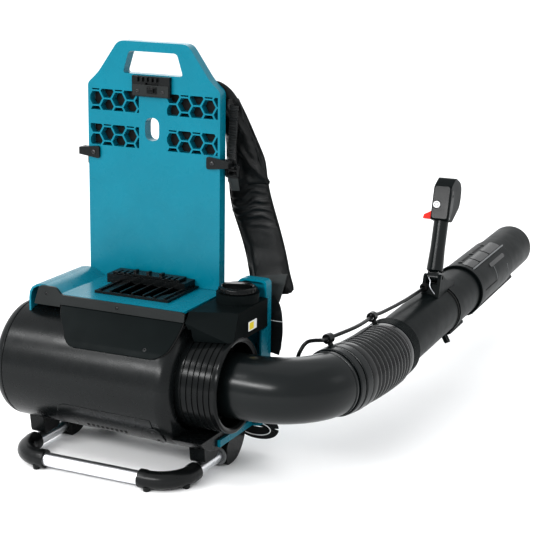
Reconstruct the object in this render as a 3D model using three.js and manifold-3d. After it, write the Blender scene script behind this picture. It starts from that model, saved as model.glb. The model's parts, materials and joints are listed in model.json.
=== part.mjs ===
// Backpack leaf blower: a carrying frame with a battery bay, an axial fan in a
// cylindrical housing lying across the bottom, and an elbow, bellows and blower
// pipe with a control handle.  Millimetres, +Z up, the battery bay faces -Y,
// the wearer stands on +Y and the air leaves to +X and then turns to +Y.
import * as THREE from 'three';
import { mergeVertices } from 'three/addons/utils/BufferGeometryUtils.js';
import { ConvexGeometry } from 'three/addons/geometries/ConvexGeometry.js';
import Module from 'manifold-3d';

const wasm = await Module();
wasm.setup();

// ---------------------------------------------------------------- dimensions
// Drawing frame: X = 0 is the middle of the back panel, Y = 0 its front face,
// Z = 0 the ground.  The whole model is shifted at the end so that the origin
// is the bottom centre of its bounding box.
const SHIFT = { x: -117, y: -483, z: 0 };
const FIT = 0.3;                       // gap between neighbouring pieces
const WALL = 4;                        // moulded housing wall

const PANEL = { x: -6, half: 141, base: 321.4, corner: 694, depth: 22, rib: 16 };
const SHOULDER = { x: 118, z: 715 };
const GRIP = { x: 74, top: 777, holeTopX: 51, holeTop: 759, holeBottomX: 64, holeBottom: 717 };
const HEX = { pitch: 25, flats: 28, rib: 3 };
const POCKET = { inner: 30, outer: 136, rows: [[577, 617], [644, 684]] };
const SLOT = { x: -2, width: 30, z0: 593, z1: 637 };

const DECK = { top: 321, front: -158, left: -184, right: 146, round: 28 };
const RIDGE = { crest: -140, foot: -112, top: 335, round: 30 };     // raised left edge of the deck
const FAN = { y: -115, z: 177, left: -227, right: 150, rLeft: 112, rRight: 118, rim: 24 };
const OUTLET = { y: -116, z: 185 };     // axis of collar, swivel ring and elbow inlet
const CRADLE = { right: 200, top: 92 };
const COLLAR = { left: 144, right: 235, r: 85, bore: 76, rings: 4, ringHeight: 3 };
const REAR = { left: -186, right: 232, bottom: 66, top: 352, y0: 2.4, y1: 24 };

const FOOT = { r: 13, z: 20, front: -226, x: -8, arm: 173, back: -22, bend: 60, steps: 22 };
const KNOB = { x: 194, y: -40, neckR: 40, capR: 35, capZ: 338, top: 354 };

const ELBOW = { r: 60, wall: 2, start: 196, arcX: 271, arcR: 110, turn: 80 };
const BELLOWS = { length: 175, r: 63, ribs: 8, ribHeight: 5 };
const YAW_ELBOW = -10;                 // heading of the elbow's outlet from +Y
const YAW_PIPE = 3.35;                 // heading of the pipe from +Y
const PITCH_PIPE = -0.45;              // the pipe droops a little
const PIPE = { r: 52.5, end: 350, wall: 1.6, hookAngle: -62 };
const INNER = { r: 53.5, neckR: 49, start: 310, shoulder: 351, end: 640 };
const SLEEVE = { start: 522, end: 812, r: 57, tip: 1018, tipR: 52.5, railAngle: 59 };
const RUNNER = { angle: -60, end: 900, top: 61 };                  // long ridge under the nozzle
const HANDLE = { x: 7, y: 302, lean: 19, gripR: 15.5 };

// ---------------------------------------------------------------- materials
const plastic = (color, roughness) => new THREE.MeshStandardMaterial({ color, roughness, metalness: 0 });
const metal = (color, roughness) => new THREE.MeshStandardMaterial({ color, roughness, metalness: 1 });
const TEAL = plastic(0x0093a8, 0.4);
const BLACK = plastic(0x16181a, 0.5);
const CHARCOAL = plastic(0x26292b, 0.6);
const RUBBER = plastic(0x0f1011, 0.8);
const FABRIC = plastic(0x141516, 0.95);
const RED = plastic(0xd3261c, 0.4);
const WHITE = plastic(0xe8eaea, 0.4);
const GREEN = plastic(0x1e6b3a, 0.5);
const ALUMINIUM = metal(0xc9ccd0, 0.35);
const STEEL = metal(0x9a9ea3, 0.35);

// ---------------------------------------------------------------- solids
const RADIAN = Math.PI / 180;
const vec = (x, y, z) => new THREE.Vector3(x, y, z);
const basis = (x, y, z) => new THREE.Matrix4().makeBasis(x, y, z);
const AXIS = { x: vec(1, 0, 0), y: vec(0, 1, 0), z: vec(0, 0, 1) };

// A closed three.js geometry as a manifold-3d solid, faces turned outward.
function solid(geometry) {
  let source = geometry.clone();
  source.deleteAttribute('normal');
  source.deleteAttribute('uv');
  source = mergeVertices(source, 1e-4);
  const points = source.attributes.position.array;
  const corners = [];
  for (let i = 0; i < source.index.count; i += 3) {
    const [a, b, c] = [0, 1, 2].map((k) => source.index.getX(i + k));
    if (a !== b && b !== c && c !== a) corners.push(a, b, c);
  }
  const at = (i) => vec(points[3 * i], points[3 * i + 1], points[3 * i + 2]);
  let volume = 0;
  for (let i = 0; i < corners.length; i += 3) {
    volume += at(corners[i]).dot(at(corners[i + 1]).cross(at(corners[i + 2])));
  }
  if (volume < 0) {
    for (let i = 0; i < corners.length; i += 3) {
      [corners[i + 1], corners[i + 2]] = [corners[i + 2], corners[i + 1]];
    }
  }
  return new wasm.Manifold(new wasm.Mesh({
    numProp: 3, vertProperties: new Float32Array(points), triVerts: new Uint32Array(corners),
  }));
}

function geometryOf(body) {
  const mesh = body.getMesh();
  const geometry = new THREE.BufferGeometry();
  geometry.setAttribute('position', new THREE.BufferAttribute(new Float32Array(mesh.vertProperties), 3));
  geometry.setIndex(new THREE.BufferAttribute(new Uint32Array(mesh.triVerts), 1));
  return geometry;
}

const moved = (geometry, x, y, z) => geometry.translate(x, y, z);
const biggest = (body) => body.decompose().sort((a, b) => b.volume() - a.volume())[0];
const join = (...bodies) => bodies.reduce((sum, body) => sum.add(body));
const cut = (body, ...tools) => tools.reduce((rest, tool) => rest.subtract(tool), body);

function box(x0, x1, y0, y1, z0, z1) {
  const shape = new THREE.BoxGeometry(x1 - x0, y1 - y0, z1 - z0);
  return solid(moved(shape, (x0 + x1) / 2, (y0 + y1) / 2, (z0 + z1) / 2));
}

function extruded(shape, depth, curveSegments = 4) {
  return new THREE.ExtrudeGeometry(shape, { depth, bevelEnabled: false, curveSegments });
}

// Outline in (y, z) swept along X, or in (x, z) swept along Y.
function prismX(shape, x0, x1, segments) {
  const geometry = extruded(shape, x1 - x0, segments).applyMatrix4(basis(AXIS.y, AXIS.z, AXIS.x));
  return solid(moved(geometry, x0, 0, 0));
}
function prismY(shape, y0, y1, segments) {
  const geometry = extruded(shape, y1 - y0, segments)
    .applyMatrix4(basis(AXIS.x, AXIS.z, vec(0, -1, 0)));
  return solid(moved(geometry, 0, y1, 0));
}

function outline(points) {
  const shape = new THREE.Shape();
  points.forEach(([x, y], i) => (i ? shape.lineTo(x, y) : shape.moveTo(x, y)));
  shape.closePath();
  return shape;
}

// A closed outline whose corners are rounded by the given radii.
function rounded(points, radii) {
  const shape = new THREE.Shape();
  const count = points.length;
  const corner = (i) => new THREE.Vector2(...points[(i + count) % count]);
  points.forEach((_, i) => {
    const here = corner(i);
    const radius = Array.isArray(radii) ? radii[i] : radii;
    const before = corner(i - 1).sub(here).normalize().multiplyScalar(radius).add(here);
    const after = corner(i + 1).sub(here).normalize().multiplyScalar(radius).add(here);
    if (i) shape.lineTo(before.x, before.y);
    else shape.moveTo(before.x, before.y);
    if (radius > 0) shape.quadraticCurveTo(here.x, here.y, after.x, after.y);
  });
  shape.closePath();
  return shape;
}

function rectangle(x0, x1, y0, y1, radius = 0) {
  return rounded([[x0, y0], [x1, y0], [x1, y1], [x0, y1]], radius);
}

function circle(x, y, radius) {
  const shape = new THREE.Shape();
  shape.absarc(x, y, radius, 0, 2 * Math.PI, false);
  return shape;
}

// Profile points are [station along the axis, radius].
function turned(profile, segments = 24, closed = true) {
  const points = profile.map(([station, radius]) => new THREE.Vector2(radius, station));
  if (closed) points.push(points[0].clone());
  return new THREE.LatheGeometry(points, segments);
}
function lathe(profile, at, along, segments, closed) {
  const turn = new THREE.Quaternion().setFromUnitVectors(AXIS.y, along.clone().normalize());
  return solid(turned(profile, segments, closed).applyQuaternion(turn).translate(at.x, at.y, at.z));
}
const rod = (r, a, b) => [[a, 0], [a, r], [b, r], [b, 0]];
const pin = (at, along, radius, length, segments = 12) =>
  lathe(rod(radius, 0, length), at, along, segments, false);
const ring = (at, along, outer, inner, length, segments = 24) =>
  lathe([[0, inner], [0, outer], [length, outer], [length, inner]], at, along, segments);

// A block on a pipe that lies along Y.  Low and high are distances from the
// pipe's axis, and the angle runs from +X towards +Z.
function blockOn(angle, halfWidth, s0, s1, low, high) {
  const shape = new THREE.BoxGeometry(high - low, s1 - s0, 2 * halfWidth);
  return solid(moved(shape, (low + high) / 2, (s0 + s1) / 2, 0).rotateY(-angle * RADIAN));
}

// A path of straight runs with circular bends of one radius.
class BentPath extends THREE.Curve {
  constructor(points, radius) {
    super();
    this.pieces = [];
    let start = points[0];
    for (let i = 1; i < points.length - 1; i += 1) {
      const toBefore = points[i - 1].clone().sub(points[i]).normalize();
      const toAfter = points[i + 1].clone().sub(points[i]).normalize();
      const half = toBefore.angleTo(toAfter) / 2;
      const reach = radius / Math.tan(half);
      const centre = toBefore.clone().add(toAfter).normalize()
        .multiplyScalar(radius / Math.sin(half)).add(points[i]);
      const enter = toBefore.multiplyScalar(reach).add(points[i]);
      const leave = toAfter.multiplyScalar(reach).add(points[i]);
      this.pieces.push({ from: start, to: enter, length: start.distanceTo(enter) });
      const sweep = Math.PI - 2 * half;
      this.pieces.push({ from: enter, to: leave, centre, sweep, length: radius * sweep });
      start = leave;
    }
    const last = points[points.length - 1];
    this.pieces.push({ from: start, to: last, length: start.distanceTo(last) });
    this.total = this.pieces.reduce((sum, piece) => sum + piece.length, 0);
  }

  getPoint(t, target = new THREE.Vector3()) {
    let rest = t * this.total;
    let index = 0;
    while (index < this.pieces.length - 1 && rest > this.pieces[index].length) {
      rest -= this.pieces[index].length;
      index += 1;
    }
    const piece = this.pieces[index];
    const part = Math.min(rest / piece.length, 1);
    if (!piece.centre) return target.lerpVectors(piece.from, piece.to, part);
    const first = piece.from.clone().sub(piece.centre);
    const second = piece.to.clone().sub(piece.centre);
    const weight = 1 / Math.sin(piece.sweep);
    return target.copy(piece.centre)
      .addScaledVector(first, Math.sin((1 - part) * piece.sweep) * weight)
      .addScaledVector(second, Math.sin(part * piece.sweep) * weight);
  }
}

function swept(curve, shape, steps, curveSegments = 8) {
  return solid(new THREE.ExtrudeGeometry(shape, { steps, extrudePath: curve, curveSegments }));
}
const smooth = (points, tension = 0.5) =>
  new THREE.CatmullRomCurve3(points.map((p) => vec(...p)), false, 'catmullrom', tension);

// ---------------------------------------------------------------- assembly
const machine = new THREE.Group();
machine.position.set(SHIFT.x, SHIFT.y, SHIFT.z);

function place(parent, name, body, material) {
  const mesh = new THREE.Mesh(geometryOf(body), material);
  mesh.name = name;
  parent.add(mesh);
  return mesh;
}
const add = (name, body, material) => place(machine, name, body, material);
const panel = new THREE.Group();       // the back panel's own centre plane
panel.position.x = PANEL.x;
machine.add(panel);

// ---------------------------------------------------------------- back panel
function panelOutline(inset, base) {
  const half = PANEL.half - inset;
  return rounded([
    [-half, base], [half, base], [half, PANEL.corner - inset], [SHOULDER.x - inset, SHOULDER.z - inset],
    [GRIP.x - inset, GRIP.top - inset], [-GRIP.x + inset, GRIP.top - inset],
    [-SHOULDER.x + inset, SHOULDER.z - inset], [-half, PANEL.corner - inset],
  ], [0, 0, 6, 10, 12, 12, 10, 6]);
}

function gripHole(grow) {
  return rounded([
    [-GRIP.holeBottomX - grow, GRIP.holeBottom - grow], [GRIP.holeBottomX + grow, GRIP.holeBottom - grow],
    [GRIP.holeTopX + grow, GRIP.holeTop + grow], [-GRIP.holeTopX - grow, GRIP.holeTop + grow],
  ], 7 + grow);
}

function slotHole(grow) {
  return rectangle(SLOT.x - SLOT.width / 2 - grow, SLOT.x + SLOT.width / 2 + grow,
    SLOT.z0 - grow, SLOT.z1 + grow, SLOT.width / 2 + grow - 0.5);
}

// Six-sided cells, corners pointing left and right, cut through the panel.
function hexCells(x0, x1, z0, z1, phase) {
  const reach = (HEX.flats - HEX.rib) / Math.sqrt(3);
  const cells = [];
  for (let column = -1; column <= 5; column += 1) {
    const x = x0 + 12 + column * HEX.pitch;
    const lift = (column + phase) % 2 === 0 ? 0 : HEX.flats / 2;
    const beyondSide = x + reach < x0 || x - reach > x1;
    for (let row = -1; row <= 2; row += 1) {
      const z = z0 + 8 + row * HEX.flats + lift;
      if (beyondSide || z + HEX.flats / 2 < z0 || z - HEX.flats / 2 > z1) continue;
      const corners = [0, 1, 2, 3, 4, 5].map((k) => [
        x + reach * Math.cos(k * 60 * RADIAN), z + reach * Math.sin(k * 60 * RADIAN)]);
      cells.push(prismY(outline(corners), -1, PANEL.depth + 1));
    }
  }
  const window = box(x0, x1, -1, PANEL.depth + 1, z0, z1);
  return cells.map((cell) => cell.intersect(window)).filter((cell) => cell.volume() > 300);
}

function backPanel() {
  const { depth } = PANEL;
  let body = prismY(panelOutline(0, PANEL.base), 0, depth);
  const hollow = cut(
    prismY(panelOutline(WALL, PANEL.base + WALL), WALL, depth + 1),
    prismY(gripHole(WALL), 0, depth + 1), prismY(slotHole(WALL), 0, depth + 1),
    box(-110, 110, 0, depth + 1, GRIP.holeTop, GRIP.top));
  const pockets = [];
  POCKET.rows.forEach(([z0, z1], row) => {
    pockets.push([-POCKET.outer, -POCKET.inner, z0, z1, row]);
    pockets.push([POCKET.inner, POCKET.outer, z0, z1, row + 1]);
  });
  const blocks = pockets.map(([x0, x1, z0, z1]) =>
    box(x0 - 3, x1 + 3, WALL - 1, PANEL.rib, z0 - 3, z1 + 3));
  body = cut(body, hollow).add(join(...blocks));
  body = cut(body, prismY(gripHole(0), -1, depth + 1), prismY(slotHole(0), -1, depth + 1));
  return cut(body, ...pockets.flatMap((pocket) => hexCells(...pocket)));
}
place(panel, 'back_panel', backPanel(), TEAL);

// Dark spacer sheet that closes the honeycomb from behind.
place(panel, 'panel_spacer', cut(
  prismY(rectangle(-PANEL.half + 9, PANEL.half - 9, 568, 690, 6), PANEL.rib + FIT, PANEL.rib + 2.3),
  prismY(slotHole(WALL + 1), 0, 60)), RUBBER);

// ---------------------------------------------------------------- top latch
function latchPlate() {
  const plate = box(-40, 40, -8, -FIT, 677, 715);
  const teeth = [-30, -20, -10, 0, 10].map((x) => box(x, x + 5, -13, -7, 705, 713));
  return cut(join(plate, ...teeth), box(-11, 17, -9, -4, 680, 703));
}
place(panel, 'latch_plate', latchPlate(), BLACK);
place(panel, 'latch_catch', join(box(-7, 13, -11, -4.3, 683, 696), box(-3, 9, -15, -10, 686, 693)), BLACK);

// ---------------------------------------------------------------- strap anchors
for (const [side, sign] of [['left', -1], ['right', 1]]) {
  const edge = sign * PANEL.half;
  const tip = edge + sign * 19;
  const tab = prismY(rounded([
    [tip, 556], [tip, 570], [edge - sign * 26, 575], [edge - sign * 26, 551],
  ], 5), -5, -FIT);
  const [lobeLow, lobeHigh] = [edge + sign * FIT, tip].sort((a, b) => a - b);
  const lobe = box(lobeLow, lobeHigh, -5, 16, 556, 570);
  const eye = pin(vec(edge + sign * 11, 8, 540), AXIS.z, 4, 50);
  place(panel, `strap_anchor_${side}`, cut(join(tab, lobe), eye), BLACK);
}

// ---------------------------------------------------------------- rear housing and battery deck
const FAN_SPLIT = FAN.left + FAN.rim;       // joint between intake ring and fan housing
const SEGMENTS = 24;                        // sides of the large round housings
const onAxis = (x) => vec(x, FAN.y, FAN.z);

// The space that the fan housing fills, grown by a gap.
const fanCone = (grow) => lathe([[FAN.left - 5, 0], [FAN.left - 5, FAN.rLeft + grow],
  [FAN_SPLIT, FAN.rLeft + grow], [FAN.right - 26, FAN.rRight + grow],
  [CRADLE.right + 60, FAN.rRight + grow], [CRADLE.right + 60, 0]], onAxis(0), AXIS.x, SEGMENTS, false);

function rearHousing() {
  const { left, right, bottom, y0, y1 } = REAR;
  const slabOutline = (inset) => rounded([
    [left + inset, bottom + inset], [right - inset, bottom + inset], [right - inset, REAR.top - inset],
    [180 + inset, REAR.top - inset], [150 + inset, 321 - inset], [left + inset, 321 - inset],
  ], [24, 20, 10, 6, 6, DECK.round]);
  const slab = prismY(slabOutline(0), y0, y1);
  const inside = prismY(slabOutline(WALL), y0 - 1, y1 - WALL);
  const deckOutline = (inset) => rounded([
    [DECK.left + inset, 180], [DECK.right, 180], [DECK.right, DECK.top - inset],
    [RIDGE.foot - inset, DECK.top - inset], [RIDGE.crest, RIDGE.top - inset],
    [DECK.left + inset, RIDGE.top - inset],
  ], [0, 0, 0, 3, 10, RIDGE.round - inset]);
  const behindRidge = (y, z) => box(DECK.left - 1, RIDGE.foot + 5, y, y0 + 4, z, RIDGE.top + 1);
  const deckSpace = cut(prismY(deckOutline(WALL), DECK.front - 1, y0 + 3),
    behindRidge(-0.5 - WALL, DECK.top - WALL));
  const deck = cut(prismY(deckOutline(0), DECK.front, y0 + 2), deckSpace,
    behindRidge(-0.5, DECK.top + 0.1), box(DECK.left - 5, DECK.right + 5, -400, 2, 0, 262),
    box(DECK.right - 1, DECK.right + 1, -400, 2, 0, 317));
  const wing = box(205, right, -16, y0 + 1, 120, 262);
  const wingInside = box(200, right - WALL, -20, y0 + 2, 124, 259);
  const skid = box(CRADLE.right + FIT, CRADLE.right + 6, -130, y0 + 1, 66, 79);
  const body = join(cut(slab, inside), deck, cut(wing, wingInside), skid);
  return cut(body, fanCone(0.6).intersect(box(-300, CRADLE.right, -400, y0, 0, 400)));
}
add('rear_housing', rearHousing(), TEAL);

// Connector tray that the battery stands on, with its raised terminal block.
function connectorTray() {
  const floor = box(-64, 92, -120, -2, 321.3, 326);
  const ribs = [-56, -34, -12, 12, 36, 58, 80].map((x) => box(x, x + 4, -116, -44, 325, 329));
  const block = box(-84, 84, -42, -2, 325, 338);
  const foot = box(-84, 84, -42, -2, 321.3, 326);
  return join(floor, foot, ...ribs, block);
}
add('connector_tray', connectorTray(), BLACK);
function terminalBlock() {
  const plugs = [-30, -2, 26].map((x) => box(x - 3, x + 3, -30, -18, 342, 348));
  const base = join(box(-74, 70, -38, -8, 338.3, 343), ...plugs);
  const slots = [-62, -50, -38, 34, 46, 58].map((x) => box(x, x + 5, -40, -20, 340, 345));
  return cut(base, ...slots);
}
add('terminal_block', terminalBlock(), CHARCOAL);

// ---------------------------------------------------------------- fan housing
function arc(cx, cy, radius, from, to, steps) {
  return Array.from({ length: steps + 1 }, (_, i) => {
    const angle = (from + (to - from) * i / steps) * RADIAN;
    return [cx + radius * Math.cos(angle), cy + radius * Math.sin(angle)];
  });
}
const outlet = (x) => vec(x, OUTLET.y, OUTLET.z);
function fanHousing() {
  const shoulder = arc(FAN.right - 26, FAN.rRight - 26, 26, 90, 8, 4);
  const shell = lathe([
    [FAN_SPLIT + FIT, FAN.rLeft], ...shoulder, [FAN.right, 60],
    [FAN.right - WALL, 60], [FAN.right - WALL, FAN.rRight - 22], [FAN.right - 18, FAN.rRight - WALL],
    [FAN_SPLIT + FIT, FAN.rLeft - WALL],
  ], onAxis(0), AXIS.x, SEGMENTS);
  const below = box(FAN.right - 30, CRADLE.right, FAN.y - 140, -2, 0, CRADLE.top);
  const outer = lathe([[FAN.right - 30, 0], [FAN.right - 30, FAN.rRight], [CRADLE.right, FAN.rRight],
    [CRADLE.right, 0]], onAxis(0), AXIS.x, SEGMENTS, false);
  const bore = lathe([[FAN.right - 40, 0], [FAN.right - 40, FAN.rRight - WALL],
    [CRADLE.right - WALL, FAN.rRight - WALL], [CRADLE.right - WALL, COLLAR.r + 6],
    [CRADLE.right + 5, COLLAR.r + 6], [CRADLE.right + 5, 0]], onAxis(0), AXIS.x, SEGMENTS, false);
  const mouth = pin(outlet(FAN.right - 20), AXIS.x, COLLAR.r + FIT, 40, SEGMENTS);
  return cut(join(shell, cut(outer.intersect(below), bore)), mouth);
}
add('fan_housing', fanHousing(), BLACK);

add('intake_ring', lathe([
  ...arc(FAN.left + FAN.rim, FAN.rLeft - FAN.rim, FAN.rim, 90, 180, 5), [FAN.left + 4, 86],
  [FAN.left + 8, 86], [FAN.left + 14, FAN.rLeft - 12], [FAN_SPLIT, FAN.rLeft - WALL],
], onAxis(0), AXIS.x, SEGMENTS), BLACK);

function intakeGrille() {
  const hoop = (outer, inner) => ring(onAxis(FAN.left + 10), AXIS.x, outer, inner, 4, 16);
  const spokes = Array.from({ length: 4 }, (_, i) => {
    const bar = new THREE.BoxGeometry(4, 78 - 16, 4).translate(FAN.left + 12, 47, 0);
    return solid(bar.rotateX(i * 90 * RADIAN).translate(0, FAN.y, FAN.z));
  });
  const hub = pin(onAxis(FAN.left + 10), AXIS.x, 20, 4, 16);
  return join(hoop(85.5, 77), hoop(54, 49), hub, ...spokes);
}
add('intake_grille', intakeGrille(), BLACK);

function outletCollar() {
  const outer = [[COLLAR.left, COLLAR.r + 3], [FAN.right - WALL - FIT, COLLAR.r + 3],
    [FAN.right - WALL - FIT, COLLAR.r], [FAN.right + 3, COLLAR.r]];
  const pitch = (COLLAR.right - 14 - FAN.right) / COLLAR.rings;
  for (let i = 0; i < COLLAR.rings; i += 1) {
    const x = FAN.right + 4 + i * pitch;
    outer.push([x + 1, COLLAR.r + COLLAR.ringHeight], [x + pitch - 3, COLLAR.r]);
  }
  outer.push([COLLAR.right - 8, COLLAR.r], ...arc(COLLAR.right - 7, COLLAR.r - 4, 6, 80, 0, 3),
    [COLLAR.right - 1, COLLAR.bore], [COLLAR.right - 10, COLLAR.bore], [COLLAR.left, COLLAR.bore + 3]);
  return lathe(outer, outlet(0), AXIS.x, SEGMENTS);
}
add('outlet_collar', outletCollar(), BLACK);

// Sloping cover over the front top of the housing and its screwed trim strip.
function frontCover() {
  const onCircle = (radius, degrees) => [FAN.y + radius * Math.cos(degrees * RADIAN),
    FAN.z + radius * Math.sin(degrees * RADIAN)];
  const section = outline([[-163, 301.7], onCircle(121.5, 142), onCircle(121.5, 148), onCircle(121.5, 154),
    onCircle(110, 154), onCircle(110, 120), [-130, 301.7]]);
  const hollow = outline([
    [-159, 297], onCircle(116, 140), onCircle(100, 140), onCircle(100, 110), [-136, 297],
  ]);
  return cut(cut(prismX(section, -109, 148), prismX(hollow, -104, 143)), fanCone(FIT));
}
add('front_cover', frontCover(), BLACK);

function deckTrim() {
  const strip = rounded([
    [-112, 302], [148, 302], [150, 318], [144, 320.7], [-109, 320.7], [-121, 334], [-158, 334], [-170, 297],
    [-112, 297],
  ], [0, 0, 2, 3, 4, 6, 8, 2, 0]);
  const screwHole = (x, z) => pin(vec(x, -170, z), AXIS.y, 3.5, 8);
  return cut(prismY(strip, -163, DECK.front - FIT), screwHole(-142, 320), screwHole(10, 311));
}
add('deck_trim', deckTrim(), CHARCOAL);

// Cover over the controller, on the outlet side of the deck, with the knob's neck.
const knobAt = vec(KNOB.x, KNOB.y, 0);
function hull(points) {
  return solid(new ConvexGeometry(points.map((p) => vec(...p))));
}
function sideCover() {
  const near = DECK.right + 4.3;
  const back = 1.6;
  const shell = (inset, drop) => hull([
    [near + inset, -147 + inset, 320 - inset], [near + inset, back - inset, 320 - inset],
    [235 - inset, -117 + inset, 320 - inset], [235 - inset, back - inset, 320 - inset],
    [near + inset, -162 + inset, 302 - drop], [near + inset, back - inset, 266 - drop],
    [162 + inset, -150 + inset, 266 - drop], [235 - inset, -140 + inset, 266 - drop],
    [235 - inset, back - inset, 266 - drop],
  ]);
  const body = cut(shell(0, 0), shell(WALL, 12));
  const collar = pin(outlet(FAN.right - 10), AXIS.x, COLLAR.r + COLLAR.ringHeight + 1, 120, SEGMENTS);
  const neck = ring(knobAt.clone().setZ(316.5), AXIS.z, KNOB.neckR, 24, KNOB.capZ - 316.5 - FIT, 24);
  return biggest(join(cut(body, collar, fanCone(3.8).intersect(box(0, 160, -300, 50, 0, 400)),
    pin(knobAt.clone().setZ(300), AXIS.z, 24, 60, 24)), neck));
}
add('side_cover', sideCover(), BLACK);
add('control_board', box(160, 222, -96, -50, 302, 303.6), GREEN);
add('heat_sink', join(box(166, 216, -90, -56, 288, 291),
  ...[168, 178, 188, 198, 208].map((x) => box(x, x + 3, -90, -56, 290, 301))), ALUMINIUM);

// Adjuster knob on the controller cover.
function knobCap() {
  const cap = pin(knobAt.clone().setZ(KNOB.capZ), AXIS.z, KNOB.capR, KNOB.top - KNOB.capZ - 4, 24);
  const wing = box(knobAt.x - 26, knobAt.x + 26, knobAt.y - 7, knobAt.y + 7, KNOB.top - 5, KNOB.top);
  const stem = pin(knobAt.clone().setZ(324), AXIS.z, 22, 16, 24);
  const { x, y } = knobAt;
  const notch = box(x + 20, x + 40, y - 22, y - 10, KNOB.capZ - 1, KNOB.capZ + 8);
  return cut(join(cap, wing, stem), notch);
}
add('adjuster_knob', knobCap(), BLACK);

// ---------------------------------------------------------------- motor and fan
function motorMount() {
  const hub = ring(onAxis(-62), AXIS.x, 50, 44.5, 100, 16);
  const rim = ring(onAxis(-50), AXIS.x, 105.5, 102, 76, 20);
  const vanes = Array.from({ length: 7 }, (_, i) => {
    const vane = new THREE.BoxGeometry(70, 56, 3).rotateY(0.22).translate(-12, 76, 0);
    return solid(vane.rotateX(i * 360 / 7 * RADIAN).translate(0, FAN.y, FAN.z));
  });
  return join(hub, rim, ...vanes);
}
add('motor_mount', motorMount(), CHARCOAL);
function motorCan() {
  return cut(pin(onAxis(-66), AXIS.x, 44, 104, 16), pin(onAxis(-70), AXIS.x, 11.2, 16, 16),
    pin(onAxis(-60), AXIS.x, 6.5, 90, 12));
}
add('motor_can', motorCan(), STEEL);
const coneProfile = [[38.3, 0], [38.3, 49], [70, 40], [100, 20], [108, 0]];
add('tail_cone', lathe(coneProfile, onAxis(0), AXIS.x, 20, false), BLACK);
add('motor_bearing', ring(onAxis(-66), AXIS.x, 11, 5.3, 9, 16), STEEL);
add('motor_shaft', pin(onAxis(-111.4), AXIS.x, 5, 129.4), STEEL);
function impeller() {
  const dome = [[-112.3, 0], [-112.3, 14], [-106, 26], [-96, 36], [-80, 42], [-70, 44]];
  const inside = [[-70, 38], [-84, 36], [-84, 5.3], [-111.7, 5.3], [-111.7, 0]];
  const hub = lathe([...dome, ...inside], onAxis(0), AXIS.x, 16, false);
  const blades = Array.from({ length: 9 }, (_, i) => {
    const blade = new THREE.BoxGeometry(34, 62, 3, 1, 2, 1).translate(0, 70, 0);
    const position = blade.attributes.position;
    for (let k = 0; k < position.count; k += 1) {
      const twist = (70 - (position.getY(k) - 39) * 0.35) * RADIAN;
      const [x, z] = [position.getX(k), position.getZ(k)];
      position.setX(k, x * Math.cos(twist) - z * Math.sin(twist) - 88);
      position.setZ(k, x * Math.sin(twist) + z * Math.cos(twist));
    }
    return solid(blade.rotateX(i * 40 * RADIAN).translate(0, FAN.y, FAN.z));
  });
  return join(hub, ...blades);
}
add('impeller', impeller(), CHARCOAL);

// ---------------------------------------------------------------- foot frame
const armX = (sign) => FOOT.x + sign * FOOT.arm;
const footPath = new BentPath([vec(armX(-1), FOOT.back, FOOT.z), vec(armX(-1), FOOT.front, FOOT.z),
  vec(armX(1), FOOT.front, FOOT.z), vec(armX(1), FOOT.back, FOOT.z)], FOOT.bend);
const footBar = (radius) => swept(footPath, circle(0, 0, radius), FOOT.steps, 4);
function footTube() {
  const section = circle(0, 0, FOOT.r);
  section.holes.push(circle(0, 0, FOOT.r - 2));
  return swept(footPath, section, FOOT.steps, 4);
}
add('foot_tube', footTube(), ALUMINIUM);

for (const [side, sign] of [['left', -1], ['right', 1]]) {
  const corner = new BentPath([vec(armX(sign), -152, FOOT.z), vec(armX(sign), FOOT.front, FOOT.z),
    vec(armX(sign) - sign * 72, FOOT.front, FOOT.z)], FOOT.bend);
  const nub = (x, y) =>
    solid(new THREE.CylinderGeometry(7, 6, 12, 10).rotateX(Math.PI / 2).translate(x, y, 6));
  const sleeve = swept(corner, circle(0, 0, FOOT.r + 4.5), 8, 4);
  const body = join(sleeve, nub(armX(sign) - sign * 55, -233), nub(armX(sign) + sign * 2, -188));
  add(`corner_foot_${side}`, cut(body, footBar(FOOT.r + 0.5)), RUBBER);
}

// Brackets that hold the tube's arms under the housings.
function rearBracket(sign) {
  const side = rounded([[-60, 0], [-16, 0], [14, 30], [22, 65.7], [-24, 65.7], [-60, 42]],
    [12, 22, 17, 0, 6, 10]);
  return cut(prismX(side, armX(sign) - 17, armX(sign) + 19, 5), footBar(FOOT.r + 0.5), fanCone(0.6));
}
add('rear_bracket_left', rearBracket(-1), BLACK);
add('rear_bracket_right', rearBracket(1), BLACK);
function heel() {
  const side = rounded([[6, 0], [42, 0], [42, 30], [23, 65.7], [6, 65.7]], [6, 6, 10, 0, 0]);
  const bar = prismX(side, -136, 118);
  return cut(bar, box(-90, 72, 0, 50, -1, 40));
}
add('heel', heel(), RUBBER);
function housingBracket(x) {
  const side = rounded([[-150, 36], [-100, 36], [-92, 90], [-158, 90]], [8, 8, 0, 0]);
  const block = prismX(side, x - 16, x + 16);
  return cut(block, footBar(FOOT.r + 0.5), fanCone(FIT));
}
add('housing_bracket_left', housingBracket(armX(-1) + 5), BLACK);
add('housing_bracket_right', housingBracket(armX(1) + 5), BLACK);

// ---------------------------------------------------------------- harness
const strapSection = (width, thick) =>
  rectangle(-thick / 2, thick / 2, -width / 2, width / 2, thick / 2 - 0.5);

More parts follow.
